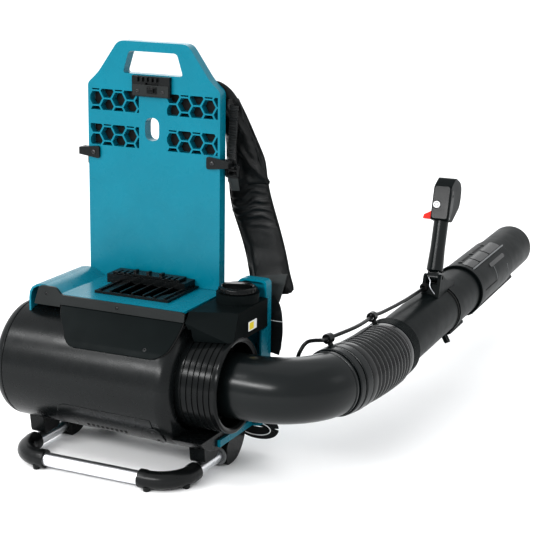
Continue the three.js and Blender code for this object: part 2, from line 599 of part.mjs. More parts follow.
// A flat band along a centre line that stays roughly upright: the section's
// wide side follows X.
function band(points, width, thick, steps, taper = () => 1) {
  const curve = smooth(points);
  const shape = strapSection(width, thick);
  const geometry = new THREE.ExtrudeGeometry(shape, { steps, extrudePath: curve, curveSegments: 2 });
  const frames = curve.computeFrenetFrames(steps, false);
  const centres = curve.getSpacedPoints(steps);
  const position = geometry.attributes.position;
  const point = new THREE.Vector3();
  for (let i = 0; i < position.count; i += 1) {
    point.fromBufferAttribute(position, i);
    let best = 0;
    for (let k = 1; k <= steps; k += 1) {
      const gap = Math.abs(point.clone().sub(centres[k]).dot(frames.tangents[k]));
      const kept = Math.abs(point.clone().sub(centres[best]).dot(frames.tangents[best]));
      if (gap < kept - 1e-6 && point.distanceTo(centres[k]) < width) best = k;
    }
    const offset = point.clone().sub(centres[best]);
    const thin = offset.dot(frames.normals[best]);
    const wide = offset.dot(frames.binormals[best]) * taper(best / steps);
    const tangent = frames.tangents[best];
    const across = AXIS.x.clone().addScaledVector(tangent, -tangent.x).normalize();
    const face = across.clone().cross(tangent).normalize();
    point.copy(centres[best]).addScaledVector(across, wide).addScaledVector(face, thin);
    position.setXYZ(i, point.x, point.y, point.z);
  }
  return solid(geometry);
}
add('shoulder_strap_right', band([
  [126, 42, 684], [138, 54, 640], [148, 70, 585], [153, 78, 540], [160, 84, 478], [187, 84, 400],
  [203, 76, 340], [212, 68, 302],
], 102, 18, 16, (t) => Math.min(1, 0.42 + 2.2 * t)), FABRIC);
add('shoulder_strap_left', band([
  [-78, 42, 684], [-80, 54, 640], [-84, 72, 570], [-88, 84, 480], [-96, 84, 400], [-104, 76, 340],
  [-108, 68, 306],
], 94, 18, 16, (t) => Math.min(1, 0.42 + 2.2 * t)), FABRIC);
add('back_pad_left', prismY(rectangle(-128, -24, 372, 556, 16), 25, 45), FABRIC);
add('back_pad_right', prismY(rectangle(24, 118, 372, 556, 16), 25, 45), FABRIC);

for (const [side, x0, x1] of [['left', -156, -68], ['right', 156, 244]]) {
  add(`waist_pad_${side}`, prismY(rectangle(x0, x1, 196, 284, 14), 42, 62), FABRIC);
}

// ---------------------------------------------------------------- elbow
function elbowTube() {
  const bendLength = ELBOW.arcR / Math.tan((180 - ELBOW.turn) / 2 * RADIAN);
  const corner = outlet(ELBOW.arcX + bendLength);
  const heading = vec(Math.cos(ELBOW.turn * RADIAN), Math.sin(ELBOW.turn * RADIAN), 0);
  const end = corner.clone().addScaledVector(heading, bendLength + 0.5);
  const path = new BentPath([outlet(ELBOW.start), corner, end], ELBOW.arcR);
  const section = circle(0, 0, ELBOW.r);
  section.holes.push(circle(0, 0, ELBOW.r - ELBOW.wall));
  return { body: swept(path, section, 8, 8), end };
}
const elbow = elbowTube();
const elbowFlange = lathe([[182, ELBOW.r - ELBOW.wall], [182, 76], [187, 76], [187, ELBOW.r],
  [ELBOW.start + 2, ELBOW.r], [ELBOW.start + 2, ELBOW.r - ELBOW.wall]], outlet(0), AXIS.x, 16);
add('elbow', join(elbow.body, elbowFlange), BLACK);
add('swivel_ring', ring(outlet(187.3), AXIS.x, COLLAR.bore + 0.4, ELBOW.r + 0.8, 6), RUBBER);

const elbowEnd = new THREE.Group();
elbowEnd.position.copy(elbow.end);
elbowEnd.rotation.z = YAW_ELBOW * RADIAN;
machine.add(elbowEnd);
const UP_SIDE = 114;                   // clips sit this far round from +X towards +Z
const EYE_BORE = 5.4;
const EYE_LIFT = 13;                   // from the cuff's surface to the middle of the eye
function clip(station, radius) {
  const direction = vec(Math.cos(UP_SIDE * RADIAN), 0, Math.sin(UP_SIDE * RADIAN));
  const stem = direction.clone().multiplyScalar(radius + 0.4).setY(station);
  const eye = direction.clone().multiplyScalar(radius + EYE_LIFT).setY(station - 7);
  return cut(join(pin(stem, direction, 5, 14, 10), ring(eye, AXIS.y, 9.5, EYE_BORE, 14, 14)),
    pin(eye.clone().setY(station - 20), AXIS.y, EYE_BORE, 40, 14));
}
place(elbowEnd, 'elbow_cuff', ring(vec(0, 0.5, 0), AXIS.y, 65, ELBOW.r - ELBOW.wall, 40), BLACK);
place(elbowEnd, 'cable_clip_near', clip(33, 65), RUBBER);

// ---------------------------------------------------------------- bellows
const heading = (yaw, distance) =>
  vec(-Math.sin(yaw * RADIAN) * distance, Math.cos(yaw * RADIAN) * distance, 0);
const bellowsStart = elbow.end.clone().add(heading(YAW_ELBOW, 41));
const bellowsTurn = YAW_PIPE - YAW_ELBOW;
const headingAt = (s) => (YAW_ELBOW + bellowsTurn * s / BELLOWS.length) * RADIAN;
function bellowsCentre(s) {
  const rate = bellowsTurn * RADIAN / BELLOWS.length;
  const [from, to] = [YAW_ELBOW * RADIAN, headingAt(s)];
  return bellowsStart.clone()
    .add(vec((Math.cos(to) - Math.cos(from)) / rate, (Math.sin(to) - Math.sin(from)) / rate, 0));
}
function bellows() {
  const { length, r, ribs, ribHeight } = BELLOWS;
  const smoothEnd = 22;
  const pitch = (length - 2 * smoothEnd) / ribs;
  const outer = [[0.3, r + 1], [smoothEnd - 4, r + 1], [smoothEnd, r - ribHeight]];
  for (let i = 0; i < ribs; i += 1) {
    const s = smoothEnd + i * pitch;
    outer.push([s + pitch / 2, r], [s + pitch, r - ribHeight]);
  }
  outer.push([length - smoothEnd + 4, r - 2], [length - 0.3, r - 2]);
  const profile = [...outer, [length - 0.3, r - 9], [0.3, r - 9]];
  const geometry = turned(profile, 16);
  const position = geometry.attributes.position;
  for (let i = 0; i < position.count; i += 1) {
    const [x, s, z] = [position.getX(i), position.getY(i), position.getZ(i)];
    const centre = bellowsCentre(s);
    const [across, ahead] = [x * Math.cos(headingAt(s)), x * Math.sin(headingAt(s))];
    position.setXYZ(i, centre.x + across, centre.y + ahead, centre.z + z);
  }
  return solid(geometry);
}
add('bellows', bellows(), RUBBER);

// ---------------------------------------------------------------- blower pipe
const pipeLine = new THREE.Group();
pipeLine.position.copy(bellowsCentre(BELLOWS.length));
pipeLine.rotation.set(PITCH_PIPE * RADIAN, 0, YAW_PIPE * RADIAN);
machine.add(pipeLine);
const along = (s) => vec(0, s, 0);

function pipeCuff() {
  const profile = [[1, 60], [4, 61], [38, 61], [42, 56], [42, PIPE.r + FIT], [1, PIPE.r + FIT]];
  return lathe(profile, along(0), AXIS.y, 24);
}
place(pipeLine, 'pipe_cuff', pipeCuff(), BLACK);
place(pipeLine, 'cable_clip_far', clip(9, 61), RUBBER);
function mainPipe() {
  const { r, end, wall } = PIPE;
  const innerR = INNER.neckR;
  const tube = lathe([
    [1, r], [end - 6, r], [end - 6, r + 1.5], [end, r + 1.5], [end, innerR + FIT], [end - 5, innerR + FIT],
    [end - 9, r - wall], [1, r - wall],
  ], along(0), AXIS.y, 24);
  const hook = cut(blockOn(PIPE.hookAngle, 4, 326, 343, PIPE.r - 1, 74),
    blockOn(PIPE.hookAngle, 5, 320, 336, 58, 68));
  return join(tube, hook);
}
place(pipeLine, 'main_pipe', mainPipe(), BLACK);

// Tube that the nozzle slides on; its narrow neck is fixed inside the main pipe.
function innerPipe() {
  const { r, neckR, start, shoulder, end } = INNER;
  return lathe([
    [start, neckR], [shoulder - 0.4, neckR], [shoulder - 0.4, r], [end, r], [end, r - PIPE.wall],
    [shoulder + 2, r - PIPE.wall], [shoulder + 1, neckR - PIPE.wall], [start, neckR - PIPE.wall],
  ], along(0), AXIS.y, 24);
}
place(pipeLine, 'inner_pipe', innerPipe(), BLACK);

// Sleeve with its rail, the plain nozzle mouth and the ridge under both.
function sleeve() {
  const { start, end, r, tip, tipR } = SLEEVE;
  const outside = [[start, r], [start + 4, r + 2], [start + 16, r + 2], [start + 20, r], [end, r - 1],
    [end + 4, tipR], [tip, tipR]];
  const bore = [[tip, tipR - 1.8], [end - 2, tipR - 1.8], [end - 6, r - 3], [start + 20, r - 2],
    [start + 16, INNER.r + 0.6], [start, INNER.r + 0.6]];
  const body = lathe([...outside, ...bore], along(0), AXIS.y, SEGMENTS);
  const rail = blockOn(SLEEVE.railAngle, 3, start + 18, end - 1, r - 1.8, r + 3);
  const runner = blockOn(RUNNER.angle, 7, start + 10, end, r - 1.5, RUNNER.top);
  const runnerTip = blockOn(RUNNER.angle, 7, end - 1, RUNNER.end, tipR - 1.2, RUNNER.top);
  return join(body, rail, runner, runnerTip);
}
place(pipeLine, 'nozzle', sleeve(), BLACK);

// ---------------------------------------------------------------- control handle
const CLAMP = { start: 351.3, hoop: 24, saddleEnd: 396, half: 19, lugEnd: 452, lugTop: 60 };
function handleClamp() {
  const hoop = ring(along(CLAMP.start), AXIS.y, INNER.r + 2.5, INNER.r + FIT, CLAMP.hoop);
  const side = rounded([
    [274, 40], [CLAMP.saddleEnd, 40], [CLAMP.saddleEnd, 56.5], [332, 73], [314, 84], [304, 91], [292, 91],
    [288, 86], [282, 66],
  ], [0, 0, 1, 8, 4, 4, 2, 4, 8]);
  const saddle = prismX(side, HANDLE.x - CLAMP.half, HANDLE.x + CLAMP.half, 3);
  const lug = blockOn(PIPE.hookAngle, 9, CLAMP.start, CLAMP.lugEnd, INNER.r - 2, CLAMP.lugTop);
  const bore = [[200, PIPE.r + FIT], [PIPE.end - 6.3, PIPE.r + FIT], [PIPE.end - 6.3, PIPE.r + 1.5 + FIT],
    [CLAMP.start - 0.2, PIPE.r + 1.5 + FIT], [CLAMP.start - 0.2, INNER.r + FIT], [600, INNER.r + FIT]];
  const hollow = lathe([[200, 0], ...bore, [600, 0]], along(0), AXIS.y, 24, false);
  const gap = box(HANDLE.x - 12.3, HANDLE.x + 12.3, 270, 345, 72.7, 95);
  const hinge = pin(vec(-30, HANDLE.y, 84), AXIS.x, 4.3, 60);
  return cut(join(hoop, saddle, lug), hollow, gap, hinge);
}
place(pipeLine, 'handle_clamp', handleClamp(), BLACK);
place(pipeLine, 'handle_pin', pin(vec(HANDLE.x - 16.5, HANDLE.y, 84), AXIS.x, 4, 33), STEEL);

const grip = new THREE.Group();        // handle frame: local Z runs up the grip
grip.position.set(HANDLE.x, HANDLE.y, 84);
grip.rotation.x = -HANDLE.lean * RADIAN;
pipeLine.add(grip);
function gripBody() {
  const tongue = join(box(-12, 12, -9, 9, 0, 22), pin(vec(-12, 0, 0), AXIS.x, 11, 24, 20));
  const neck = HANDLE.gripR;
  const shaftProfile = [[9, 0], [9, 12], [14, 17.5], [24, 17], [60, neck], [118, neck], [118, 0]];
  const shaft = lathe(shaftProfile, vec(0, 0, 0), AXIS.z, 24, false);
  const pocket = box(-6, 6, 4, 30, 84, 118);
  return cut(join(tongue, shaft), pin(vec(-20, 0, 0), AXIS.x, 4.3, 40), pocket);
}
place(grip, 'grip', gripBody(), CHARCOAL);
function controlHead() {
  const section = rounded([
    [-20, 118.3], [14, 118.3], [60, 158], [64, 180], [60, 200], [46, 210], [6, 213], [-22, 188],
  ], [4, 8, 8, 10, 8, 8, 8, 6]);
  const body = prismX(section, -19, 19, 3);
  const well = box(-20, -15.7, -15, 1, 128, 140);
  const button = pin(vec(-8, -40, 150), AXIS.y, 8.3, 24);
  return cut(body, well, button);
}
place(grip, 'control_head', controlHead(), BLACK);
place(grip, 'trigger', join(box(-5.4, 5.4, 13, 24, 92, 117), box(-5.4, 5.4, 15, 22, 86, 93)), BLACK);
place(grip, 'power_button', pin(vec(-8, -25.5, 150), AXIS.y, 7.6, 6, 20), WHITE);
place(grip, 'lock_lever', join(prismX(outline([[-14, 120], [-2, 120], [-2, 138], [-9, 139]]), -37, -19.3),
  box(-20, -16.2, -13, -3, 130, 138)), RED);

// ---------------------------------------------------------------- cable
// Signal cable from the handle clamp over the two clips to the housing.
const CABLE_R = 3.6;
const toMachine = (group, point) => {
  group.updateMatrixWorld(true);
  return group.localToWorld(point).sub(machine.position);
};
machine.updateMatrixWorld(true);
const eyeAt = (station, radius) => vec(Math.cos(UP_SIDE * RADIAN) * (radius + EYE_LIFT), station,
  Math.sin(UP_SIDE * RADIAN) * (radius + EYE_LIFT));
const nearEye = toMachine(elbowEnd, eyeAt(33, 65));
const farEye = toMachine(pipeLine, eyeAt(9, 61));
const clampEnd = toMachine(pipeLine, vec(-7, HANDLE.y - 25, 64));
function cable(points, steps) {
  const curve = new THREE.CatmullRomCurve3(points, false, 'centripetal');
  return swept(curve, circle(0, 0, CABLE_R), steps, 4);
}
const pastNear = (distance) => nearEye.clone().add(heading(YAW_ELBOW, distance));
const pastFar = (distance) => farEye.clone().add(heading(YAW_PIPE, distance));
const span = nearEye.distanceTo(farEye);
add('cable_pipe', cable([
  pastFar(0.5), pastFar(14), pastFar(60).add(vec(2, 0, -6)),
  clampEnd.clone().lerp(farEye, 0.4).add(vec(0, 0, -4)), clampEnd,
], 20), RUBBER);
add('cable_bellows', cable([
  pastNear(0.5), pastNear(14), pastNear(span / 2), pastFar(-14), pastFar(-0.5),
], 12), RUBBER);
const GROMMET = vec(REAR.right + FIT, 22, 160);
add('cable_elbow', cable([
  GROMMET.clone().add(vec(12.4, 0, 0)), GROMMET.clone().add(vec(36, -4, 5)), vec(292, 2, 192),
  vec(304, -4, 226), vec(316, 6, 246), pastNear(-14), pastNear(-0.5),
], 18), RUBBER);
add('cable_grommet', ring(GROMMET, AXIS.x, 9, 4, 12, 14), RUBBER);

export default machine;
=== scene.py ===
"""Backpack leaf blower: the looks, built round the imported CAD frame.

Tables and sizes below are millimetres in the drawing frame of the CAD model: X = 0 is near the middle
of the back panel, Y = 0 its front face and Z = 0 the ground. MACHINE turns them into the frame of the
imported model, in metres.
"""
import json
import math

import bmesh
import bpy
from mathutils import Matrix, Vector, noise


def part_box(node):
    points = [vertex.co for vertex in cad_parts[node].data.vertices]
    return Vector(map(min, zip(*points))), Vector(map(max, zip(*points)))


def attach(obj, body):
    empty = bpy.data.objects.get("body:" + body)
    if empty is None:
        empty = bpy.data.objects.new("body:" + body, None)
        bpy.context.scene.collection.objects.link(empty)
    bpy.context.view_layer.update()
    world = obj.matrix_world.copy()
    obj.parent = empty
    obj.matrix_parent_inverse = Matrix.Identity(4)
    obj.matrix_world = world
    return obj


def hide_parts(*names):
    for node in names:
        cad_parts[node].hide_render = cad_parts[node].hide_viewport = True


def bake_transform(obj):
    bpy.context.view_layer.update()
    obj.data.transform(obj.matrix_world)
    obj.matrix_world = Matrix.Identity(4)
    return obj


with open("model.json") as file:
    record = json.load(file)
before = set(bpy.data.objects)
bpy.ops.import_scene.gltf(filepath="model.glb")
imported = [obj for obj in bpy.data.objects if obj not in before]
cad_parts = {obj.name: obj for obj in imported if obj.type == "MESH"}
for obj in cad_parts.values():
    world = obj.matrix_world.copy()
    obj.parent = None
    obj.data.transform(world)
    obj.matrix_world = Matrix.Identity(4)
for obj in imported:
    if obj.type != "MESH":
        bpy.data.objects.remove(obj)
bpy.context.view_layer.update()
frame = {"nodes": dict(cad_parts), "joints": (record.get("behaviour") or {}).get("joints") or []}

# ------------------------------------------------------------------ frames
MM = 0.001
JOINTS = {joint["name"]: joint for joint in frame["joints"]}
FAN = {"y": -115, "z": 177, "left": -227, "split": -203, "right": 150, "r_left": 112, "r_right": 118,
       "shoulder": 26, "rim": 24, "wall": 4}
OUTLET = Vector((0, -116, 185))
X, Y, Z = Vector((1, 0, 0)), Vector((0, 1, 0)), Vector((0, 0, 1))


def turn(degrees, axis):
    return Matrix.Rotation(math.radians(degrees), 4, axis)


def shift(x, y, z):
    return Matrix.Translation((x, y, z))


spin_at = Vector(JOINTS["impeller_spin"]["pos_m"])
ORIGIN = spin_at - Vector((-90, FAN["y"], FAN["z"])) * MM
MACHINE = Matrix.Translation(ORIGIN) @ Matrix.Scale(MM, 4)
PANEL = MACHINE @ shift(-6, 0, 0)

ELBOW = {"r": 60, "wall": 2, "start": 196, "arc_x": 271, "arc_r": 110, "turn": 80}
YAW_ELBOW, YAW_PIPE, PITCH_PIPE = -10, 3.35, -0.45
BELLOWS_LENGTH = 175
tangent = ELBOW["arc_r"] / math.tan(math.radians((180 - ELBOW["turn"]) / 2))
elbow_corner = OUTLET + X * (ELBOW["arc_x"] + tangent)
elbow_heading = Vector((math.cos(math.radians(ELBOW["turn"])), math.sin(math.radians(ELBOW["turn"])), 0))
elbow_out = elbow_corner + elbow_heading * (tangent + 0.5)
CUFF = MACHINE @ Matrix.Translation(elbow_out) @ turn(YAW_ELBOW, "Z")


def bellows_heading(station):
    return math.radians(YAW_ELBOW + (YAW_PIPE - YAW_ELBOW) * station / BELLOWS_LENGTH)


def bellows_centre(station):
    """The point of the bellows' arc at a station, in the drawing frame."""
    rate = math.radians(YAW_PIPE - YAW_ELBOW) / BELLOWS_LENGTH
    first, last = bellows_heading(0), bellows_heading(station)
    start = elbow_out + Vector((math.sin(-first), math.cos(first), 0)) * 41
    return start + Vector((math.cos(last) - math.cos(first), math.sin(last) - math.sin(first), 0)) / rate


pipe_start = bellows_centre(BELLOWS_LENGTH)
PIPE = MACHINE @ Matrix.Translation(pipe_start) @ turn(PITCH_PIPE, "X") @ turn(YAW_PIPE, "Z")
HANDLE_X, HANDLE_Y, HANDLE_Z, HANDLE_LEAN = 7, 302, 84, 19
GRIP = PIPE @ shift(HANDLE_X, HANDLE_Y, HANDLE_Z) @ turn(-HANDLE_LEAN, "X")


def placed(name, data):
    """A new object in the scene that shows a mesh, a light or a camera."""
    obj = bpy.data.objects.new(name, data)
    bpy.context.scene.collection.objects.link(obj)
    return obj


# ------------------------------------------------------------------ camera, lights, floor
def studio():
    azimuth, elevation, roll = math.radians(25.5), math.radians(14.2), math.radians(0.75)
    back = Vector((math.sin(azimuth) * math.cos(elevation), -math.cos(azimuth) * math.cos(elevation),
                   math.sin(elevation)))
    right = Vector((math.cos(azimuth), math.sin(azimuth), 0))
    up = back.cross(right)
    rolled_right = right * math.cos(roll) + up * math.sin(roll)
    rolled_up = up * math.cos(roll) - right * math.sin(roll)
    data = bpy.data.cameras.new("camera")
    data.sensor_width = 36
    data.lens = 104.7
    data.clip_end = 30
    camera = placed("camera", data)
    camera.matrix_world = Matrix((rolled_right, rolled_up, back)).transposed().to_4x4()
    camera.matrix_world.translation = MACHINE @ Vector((1422.5, -2494.8, 1079.8))
    bpy.context.scene.camera = camera

    def area(name, place, target, size, power):
        light = bpy.data.lights.new(name, "AREA")
        light.shape = "RECTANGLE"
        light.size, light.size_y = size
        light.energy = power
        lamp = placed(name, light)
        lamp.location = place
        lamp.rotation_euler = (Vector(target) - Vector(place)).to_track_quat("-Z", "Y").to_euler()

    area("key", (-1.9, -2.3, 2.6), (0, -0.3, 0.3), (0.7, 0.5), 24)
    area("front", (-0.5, -3.1, 1.6), (0.1, -0.3, 0.2), (2.6, 0.4), 62)
    area("right", (3.0, 0.2, 1.7), (0.1, 0, 0.3), (0.9, 0.9), 2)
    area("top", (0.2, -0.1, 3.2), (0, -0.1, 0), (2.4, 2.4), 6)
    area("back", (-1.2, 2.8, 1.8), (0, 0.2, 0.3), (2.0, 1.4), 10)

    world = bpy.data.worlds.new("studio")
    world.use_nodes = True
    world.node_tree.nodes["Background"].inputs["Color"].default_value = (0.98, 0.99, 1, 1)
    world.node_tree.nodes["Background"].inputs["Strength"].default_value = 1.04
    bpy.context.scene.world = world

    mesh = bpy.data.meshes.new("floor")
    mesh.from_pydata([(-9, -9, 0), (9, -9, 0), (9, 9, 0), (-9, 9, 0)], [], [(0, 1, 2, 3)])
    floor = placed("floor", mesh)
    look = bpy.data.materials.new("floor")
    look.use_nodes = True
    shader = look.node_tree.nodes["Principled BSDF"]
    shader.inputs["Base Color"].default_value = (0.97, 0.97, 0.97, 1)
    shader.inputs["Roughness"].default_value = 0.9
    floor.data.materials.append(look)


studio()
bpy.context.scene.view_settings.view_transform = "Standard"
bpy.context.scene.view_settings.look = "Medium High Contrast"


# ------------------------------------------------------------------ materials
def new_material(name):
    look = bpy.data.materials.new(name)
    look.use_nodes = True
    return look, look.node_tree, look.node_tree.nodes["Principled BSDF"]


def object_noise(tree, scale, detail=3.0, stretch=(1, 1, 1)):
    """A noise texture in the piece's own coordinates, in metres, and its factor output."""
    coordinates = tree.nodes.new("ShaderNodeTexCoord")
    mapping = tree.nodes.new("ShaderNodeMapping")
    mapping.inputs["Scale"].default_value = stretch
    texture = tree.nodes.new("ShaderNodeTexNoise")
    texture.inputs["Scale"].default_value = scale
    texture.inputs["Detail"].default_value = detail
    tree.links.new(coordinates.outputs["Object"], mapping.inputs["Vector"])
    tree.links.new(mapping.outputs["Vector"], texture.inputs["Vector"])
    return texture.outputs["Fac"]


RAMP_STOPS = (0.3, 0.7)


def ramp(tree, factor, low, high):
    """A colour ramp from one colour or grey level to another."""
    node = tree.nodes.new("ShaderNodeValToRGB")
    for element, stop, value in zip(node.color_ramp.elements, RAMP_STOPS, (low, high)):
        element.position = stop
        element.color = (*value, 1) if hasattr(value, "__len__") else (value, value, value, 1)
    tree.links.new(factor, node.inputs["Fac"])
    return node.outputs["Color"]


def bumped(tree, shader, height, strength, distance):
    node = tree.nodes.new("ShaderNodeBump")
    node.inputs["Strength"].default_value = strength
    node.inputs["Distance"].default_value = distance
    tree.links.new(height, node.inputs["Height"])
    tree.links.new(node.outputs["Normal"], shader.inputs["Normal"])


def scaled(colour, factor):
    return tuple(min(1.0, c * factor) for c in colour)


def moulded(name, colour, roughness, grain=900, bump=0.12, spread=0.035, variation=0.12, gloss=0.3):
    """Moulded plastic or rubber: cloudy colour, uneven gloss and a fine spark-eroded grain."""
    look, tree, shader = new_material(name)
    cloud = object_noise(tree, 14)
    tree.links.new(ramp(tree, cloud, scaled(colour, 1 - variation), scaled(colour, 1 + variation)),
                   shader.inputs["Base Color"])
    smear = object_noise(tree, 38, 5)
    tree.links.new(ramp(tree, smear, roughness - spread, roughness + spread), shader.inputs["Roughness"])
    bumped(tree, shader, object_noise(tree, grain, 2), bump, 0.0002)
    shader.inputs["Specular IOR Level"].default_value = gloss
    return look


def woven(name, colour, pitch_mm, roughness, strength=0.5, sheen=0.0):
    """Woven nylon: two crossing sets of threads, uneven dye and a low sheen."""
    look, tree, shader = new_material(name)
    coordinates = tree.nodes.new("ShaderNodeTexCoord")
    heights = []
    for direction in ("X", "Z"):
        wave = tree.nodes.new("ShaderNodeTexWave")
        wave.bands_direction = direction
        wave.inputs["Scale"].default_value = 1000 / pitch_mm / math.tau * 2
        wave.inputs["Distortion"].default_value = 0.6
        tree.links.new(coordinates.outputs["Object"], wave.inputs["Vector"])
        heights.append(wave.outputs["Fac"])
    weave = tree.nodes.new("ShaderNodeMath")
    weave.operation = "MAXIMUM"
    tree.links.new(heights[0], weave.inputs[0])
    tree.links.new(heights[1], weave.inputs[1])
    bumped(tree, shader, weave.outputs["Value"], strength, 0.0003)
    cloud = object_noise(tree, 26, 4)
    tree.links.new(ramp(tree, cloud, scaled(colour, 0.7), scaled(colour, 1.45)), shader.inputs["Base Color"])
    tree.links.new(ramp(tree, weave.outputs["Value"], roughness + 0.12, roughness - 0.1),
                   shader.inputs["Roughness"])
    shader.inputs["Specular IOR Level"].default_value = 0.26
    shader.inputs["Sheen Weight"].default_value = sheen
    shader.inputs["Sheen Roughness"].default_value = 0.4
    return look


def metal(name, colour, roughness):
    """Drawn or turned metal: fine lines along one direction and uneven gloss."""
    look, tree, shader = new_material(name)
    shader.inputs["Metallic"].default_value = 1
    lines = object_noise(tree, 60, 4, stretch=(40, 40, 1.5))
    tree.links.new(ramp(tree, lines, scaled(colour, 0.88), scaled(colour, 1.06)), shader.inputs["Base Color"])
    tree.links.new(ramp(tree, lines, roughness - 0.06, roughness + 0.08), shader.inputs["Roughness"])
    bumped(tree, shader, lines, 0.08, 0.0002)
    return look


LOOKS = {
    "teal": (moulded("teal_plastic", (0.0, 0.132, 0.184), 0.28, bump=0.05, variation=0.05, gloss=0.22),
             "teal_plastic"),
    "black": (moulded("black_plastic", (0.0045, 0.0055, 0.0058), 0.27, bump=0.06, gloss=0.22),
              "black_plastic"),
    "gloss": (moulded("black_gloss", (0.004, 0.0048, 0.005), 0.2, bump=0.04, spread=0.03, gloss=0.16),
              "black_plastic"),
    "duct": (moulded("duct_plastic", (0.0036, 0.0053, 0.0056), 0.23, bump=0.05, gloss=0.28),
             "black_plastic"),
    "satin": (moulded("satin_plastic", (0.005, 0.007, 0.0072), 0.34, bump=0.05, gloss=0.035),
              "black_plastic"),
    "grey": (moulded("grey_plastic", (0.011, 0.013, 0.013), 0.4, grain=700, bump=0.3, gloss=0.2),
             "grey_plastic"),
    "rubber": (moulded("black_rubber", (0.0045, 0.0052, 0.0054), 0.3, bump=0.1, gloss=0.26),
               "black_rubber"),
    "bellows": (moulded("bellows_rubber", (0.003, 0.0038, 0.004), 0.2, bump=0.04, spread=0.03, gloss=0.4),
                "black_rubber"),
    # Matte black rubber for seals; the same material paints the shade in the groove round the front cover,
    # the vents, the nozzle's slots and groove and a hole in the head.
    "seal": (moulded("seal_rubber_and_painted_shade", (0.004, 0.004, 0.004), 0.75, bump=0.3), "black_rubber"),
    "nylon": (woven("pad_nylon", (0.0028, 0.0034, 0.0035), 1.3, 0.36), "black_fabric"),
    "mesh": (woven("pad_mesh", (0.0055, 0.0062, 0.0064), 3.2, 0.6, 0.9, sheen=0.02), "black_fabric"),
    "webbing": (woven("webbing", (0.0055, 0.0062, 0.0064), 2.6, 0.42, 0.9), "black_fabric"),
    "greytip": (woven("grey_nylon", (0.022, 0.025, 0.025), 1.6, 0.5), "black_fabric"),
    "red": (moulded("red_plastic", (0.62, 0.022, 0.012), 0.3, bump=0.05, variation=0.06), "red_plastic"),
    # White plastic; the same material paints the highlight along the belt loops' rims.
    "white": (moulded("white_plastic", (0.75, 0.76, 0.76), 0.35, bump=0.05, variation=0.04),
              "white_plastic"),
    "yellow": (moulded("yellow_label", (0.78, 0.62, 0.04), 0.4, bump=0.04, variation=0.05),
               "white_plastic"),
    # Grey for labels and thin lines; the same material paints the highlights on the nozzle's runner and on
    # the ring by the right rear bracket.
    "blank": (moulded("grey_label_and_painted_highlight", (0.14, 0.145, 0.148), 0.5, bump=0.05), "grey_plastic"),
    "board": (moulded("circuit_board", (0.012, 0.12, 0.05), 0.4), "circuit_board"),
    "screw": (moulded("blackened_screw", (0.012, 0.012, 0.013), 0.3, gloss=0.5), "steel"),
    "alloy": (metal("aluminium_tube", (0.80, 0.81, 0.83), 0.30), "aluminium"),
    "steel": (metal("steel", (0.50, 0.51, 0.53), 0.32), "steel"),
}


# ------------------------------------------------------------------ mesh helpers
MERGE_DISTANCE = 1e-6


def link(name, verts, faces, place=MACHINE):
    mesh = bpy.data.meshes.new(name)
    mesh.from_pydata([place @ Vector(v) for v in verts], [], faces)
    obj = placed(name, mesh)
    tidy_mesh(obj)
    return obj


def tidy_mesh(obj):
    """Merges doubled points and turns every face outwards."""
    work = bmesh.new()
    work.from_mesh(obj.data)
    bmesh.ops.remove_doubles(work, verts=work.verts, dist=MERGE_DISTANCE)
    bmesh.ops.recalc_face_normals(work, faces=work.faces)
    work.to_mesh(obj.data)
    work.free()


def apply_modifiers(obj):
    depsgraph = bpy.context.evaluated_depsgraph_get()
    mesh = bpy.data.meshes.new_from_object(obj.evaluated_get(depsgraph))
    obj.modifiers.clear()
    obj.data = mesh
    obj.data.name = obj.name


def soften(obj, width=1.0, segments=2, angle=32, shade=34, by_weight=False):
    """Rounds the sharp edges of a piece by a width in millimetres and shades it smooth."""
    if width:
        bevel = obj.modifiers.new("bevel", "BEVEL")
        bevel.width = width * MM
        bevel.segments = segments
        bevel.limit_method = "WEIGHT" if by_weight else "ANGLE"
        bevel.angle_limit = math.radians(angle)
        bevel.miter_outer = "MITER_ARC"
        apply_modifiers(obj)
    obj.data.polygons.foreach_set("use_smooth", [True] * len(obj.data.polygons))
    obj.data.set_sharp_from_angle(angle=math.radians(shade))
    weighted = obj.modifiers.new("weighted", "WEIGHTED_NORMAL")
    weighted.keep_sharp = True
    apply_modifiers(obj)
    return obj


def dress(obj, look, body, *nodes, blend=None):
    """Gives a piece its material and its body; a piece that bends between two bodies is baked in place and
    gets no body.
    """
    material, slot = LOOKS[look]
    obj.data.materials.clear()
    obj.data.materials.append(material)
    if blend:
        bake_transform(obj)
    else:
        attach(obj, body)
    if nodes:
        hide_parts(*nodes)
    return obj


def refined(node, look, body="frame", width=1.0, segments=2, shade=34, merge_faces=True, weight=None):
    """A CAD node's shape with its flat faces merged and its edges rounded, in place of the node."""
    obj = placed(node + "_body", frame["nodes"][node].data.copy())
    work = bmesh.new()
    work.from_mesh(obj.data)
    bmesh.ops.remove_doubles(work, verts=work.verts, dist=2e-6)
    if merge_faces:
        bmesh.ops.dissolve_limit(work, angle_limit=math.radians(1), verts=work.verts, edges=work.edges)
    if weight:
        layer = work.edges.layers.float.new("bevel_weight_edge")
        back = MACHINE.inverted()
        for edge in work.edges:
            sharp = len(edge.link_faces) == 2 and edge.calc_face_angle(0) > math.radians(32)
            edge[layer] = weight(back @ ((edge.verts[0].co + edge.verts[1].co) / 2)) if sharp else 0
    work.to_mesh(obj.data)
    work.free()
    soften(obj, width, segments, shade=shade, by_weight=bool(weight))
    return dress(obj, look, body, node)


def across(direction):
    """Two directions square to a direction and to each other."""
    helper = Z if abs(direction.z) < 0.9 else X
    side = helper.cross(direction).normalized()
    return side, direction.cross(side).normalized()


def ring_faces(count, size, closed=True):
    """The faces between rings of points, and between the last ring and the first if closed."""
    faces = []
    for k in range(count if closed else count - 1):
        low, high = k * size, (k + 1) % count * size
        faces += [(low + i, low + (i + 1) % size, high + (i + 1) % size, high + i) for i in range(size)]
    return faces


def end_faces(count, size):
    """The two faces that close the first and the last ring."""
    return [tuple(range(size)), tuple(range((count - 1) * size, count * size))]


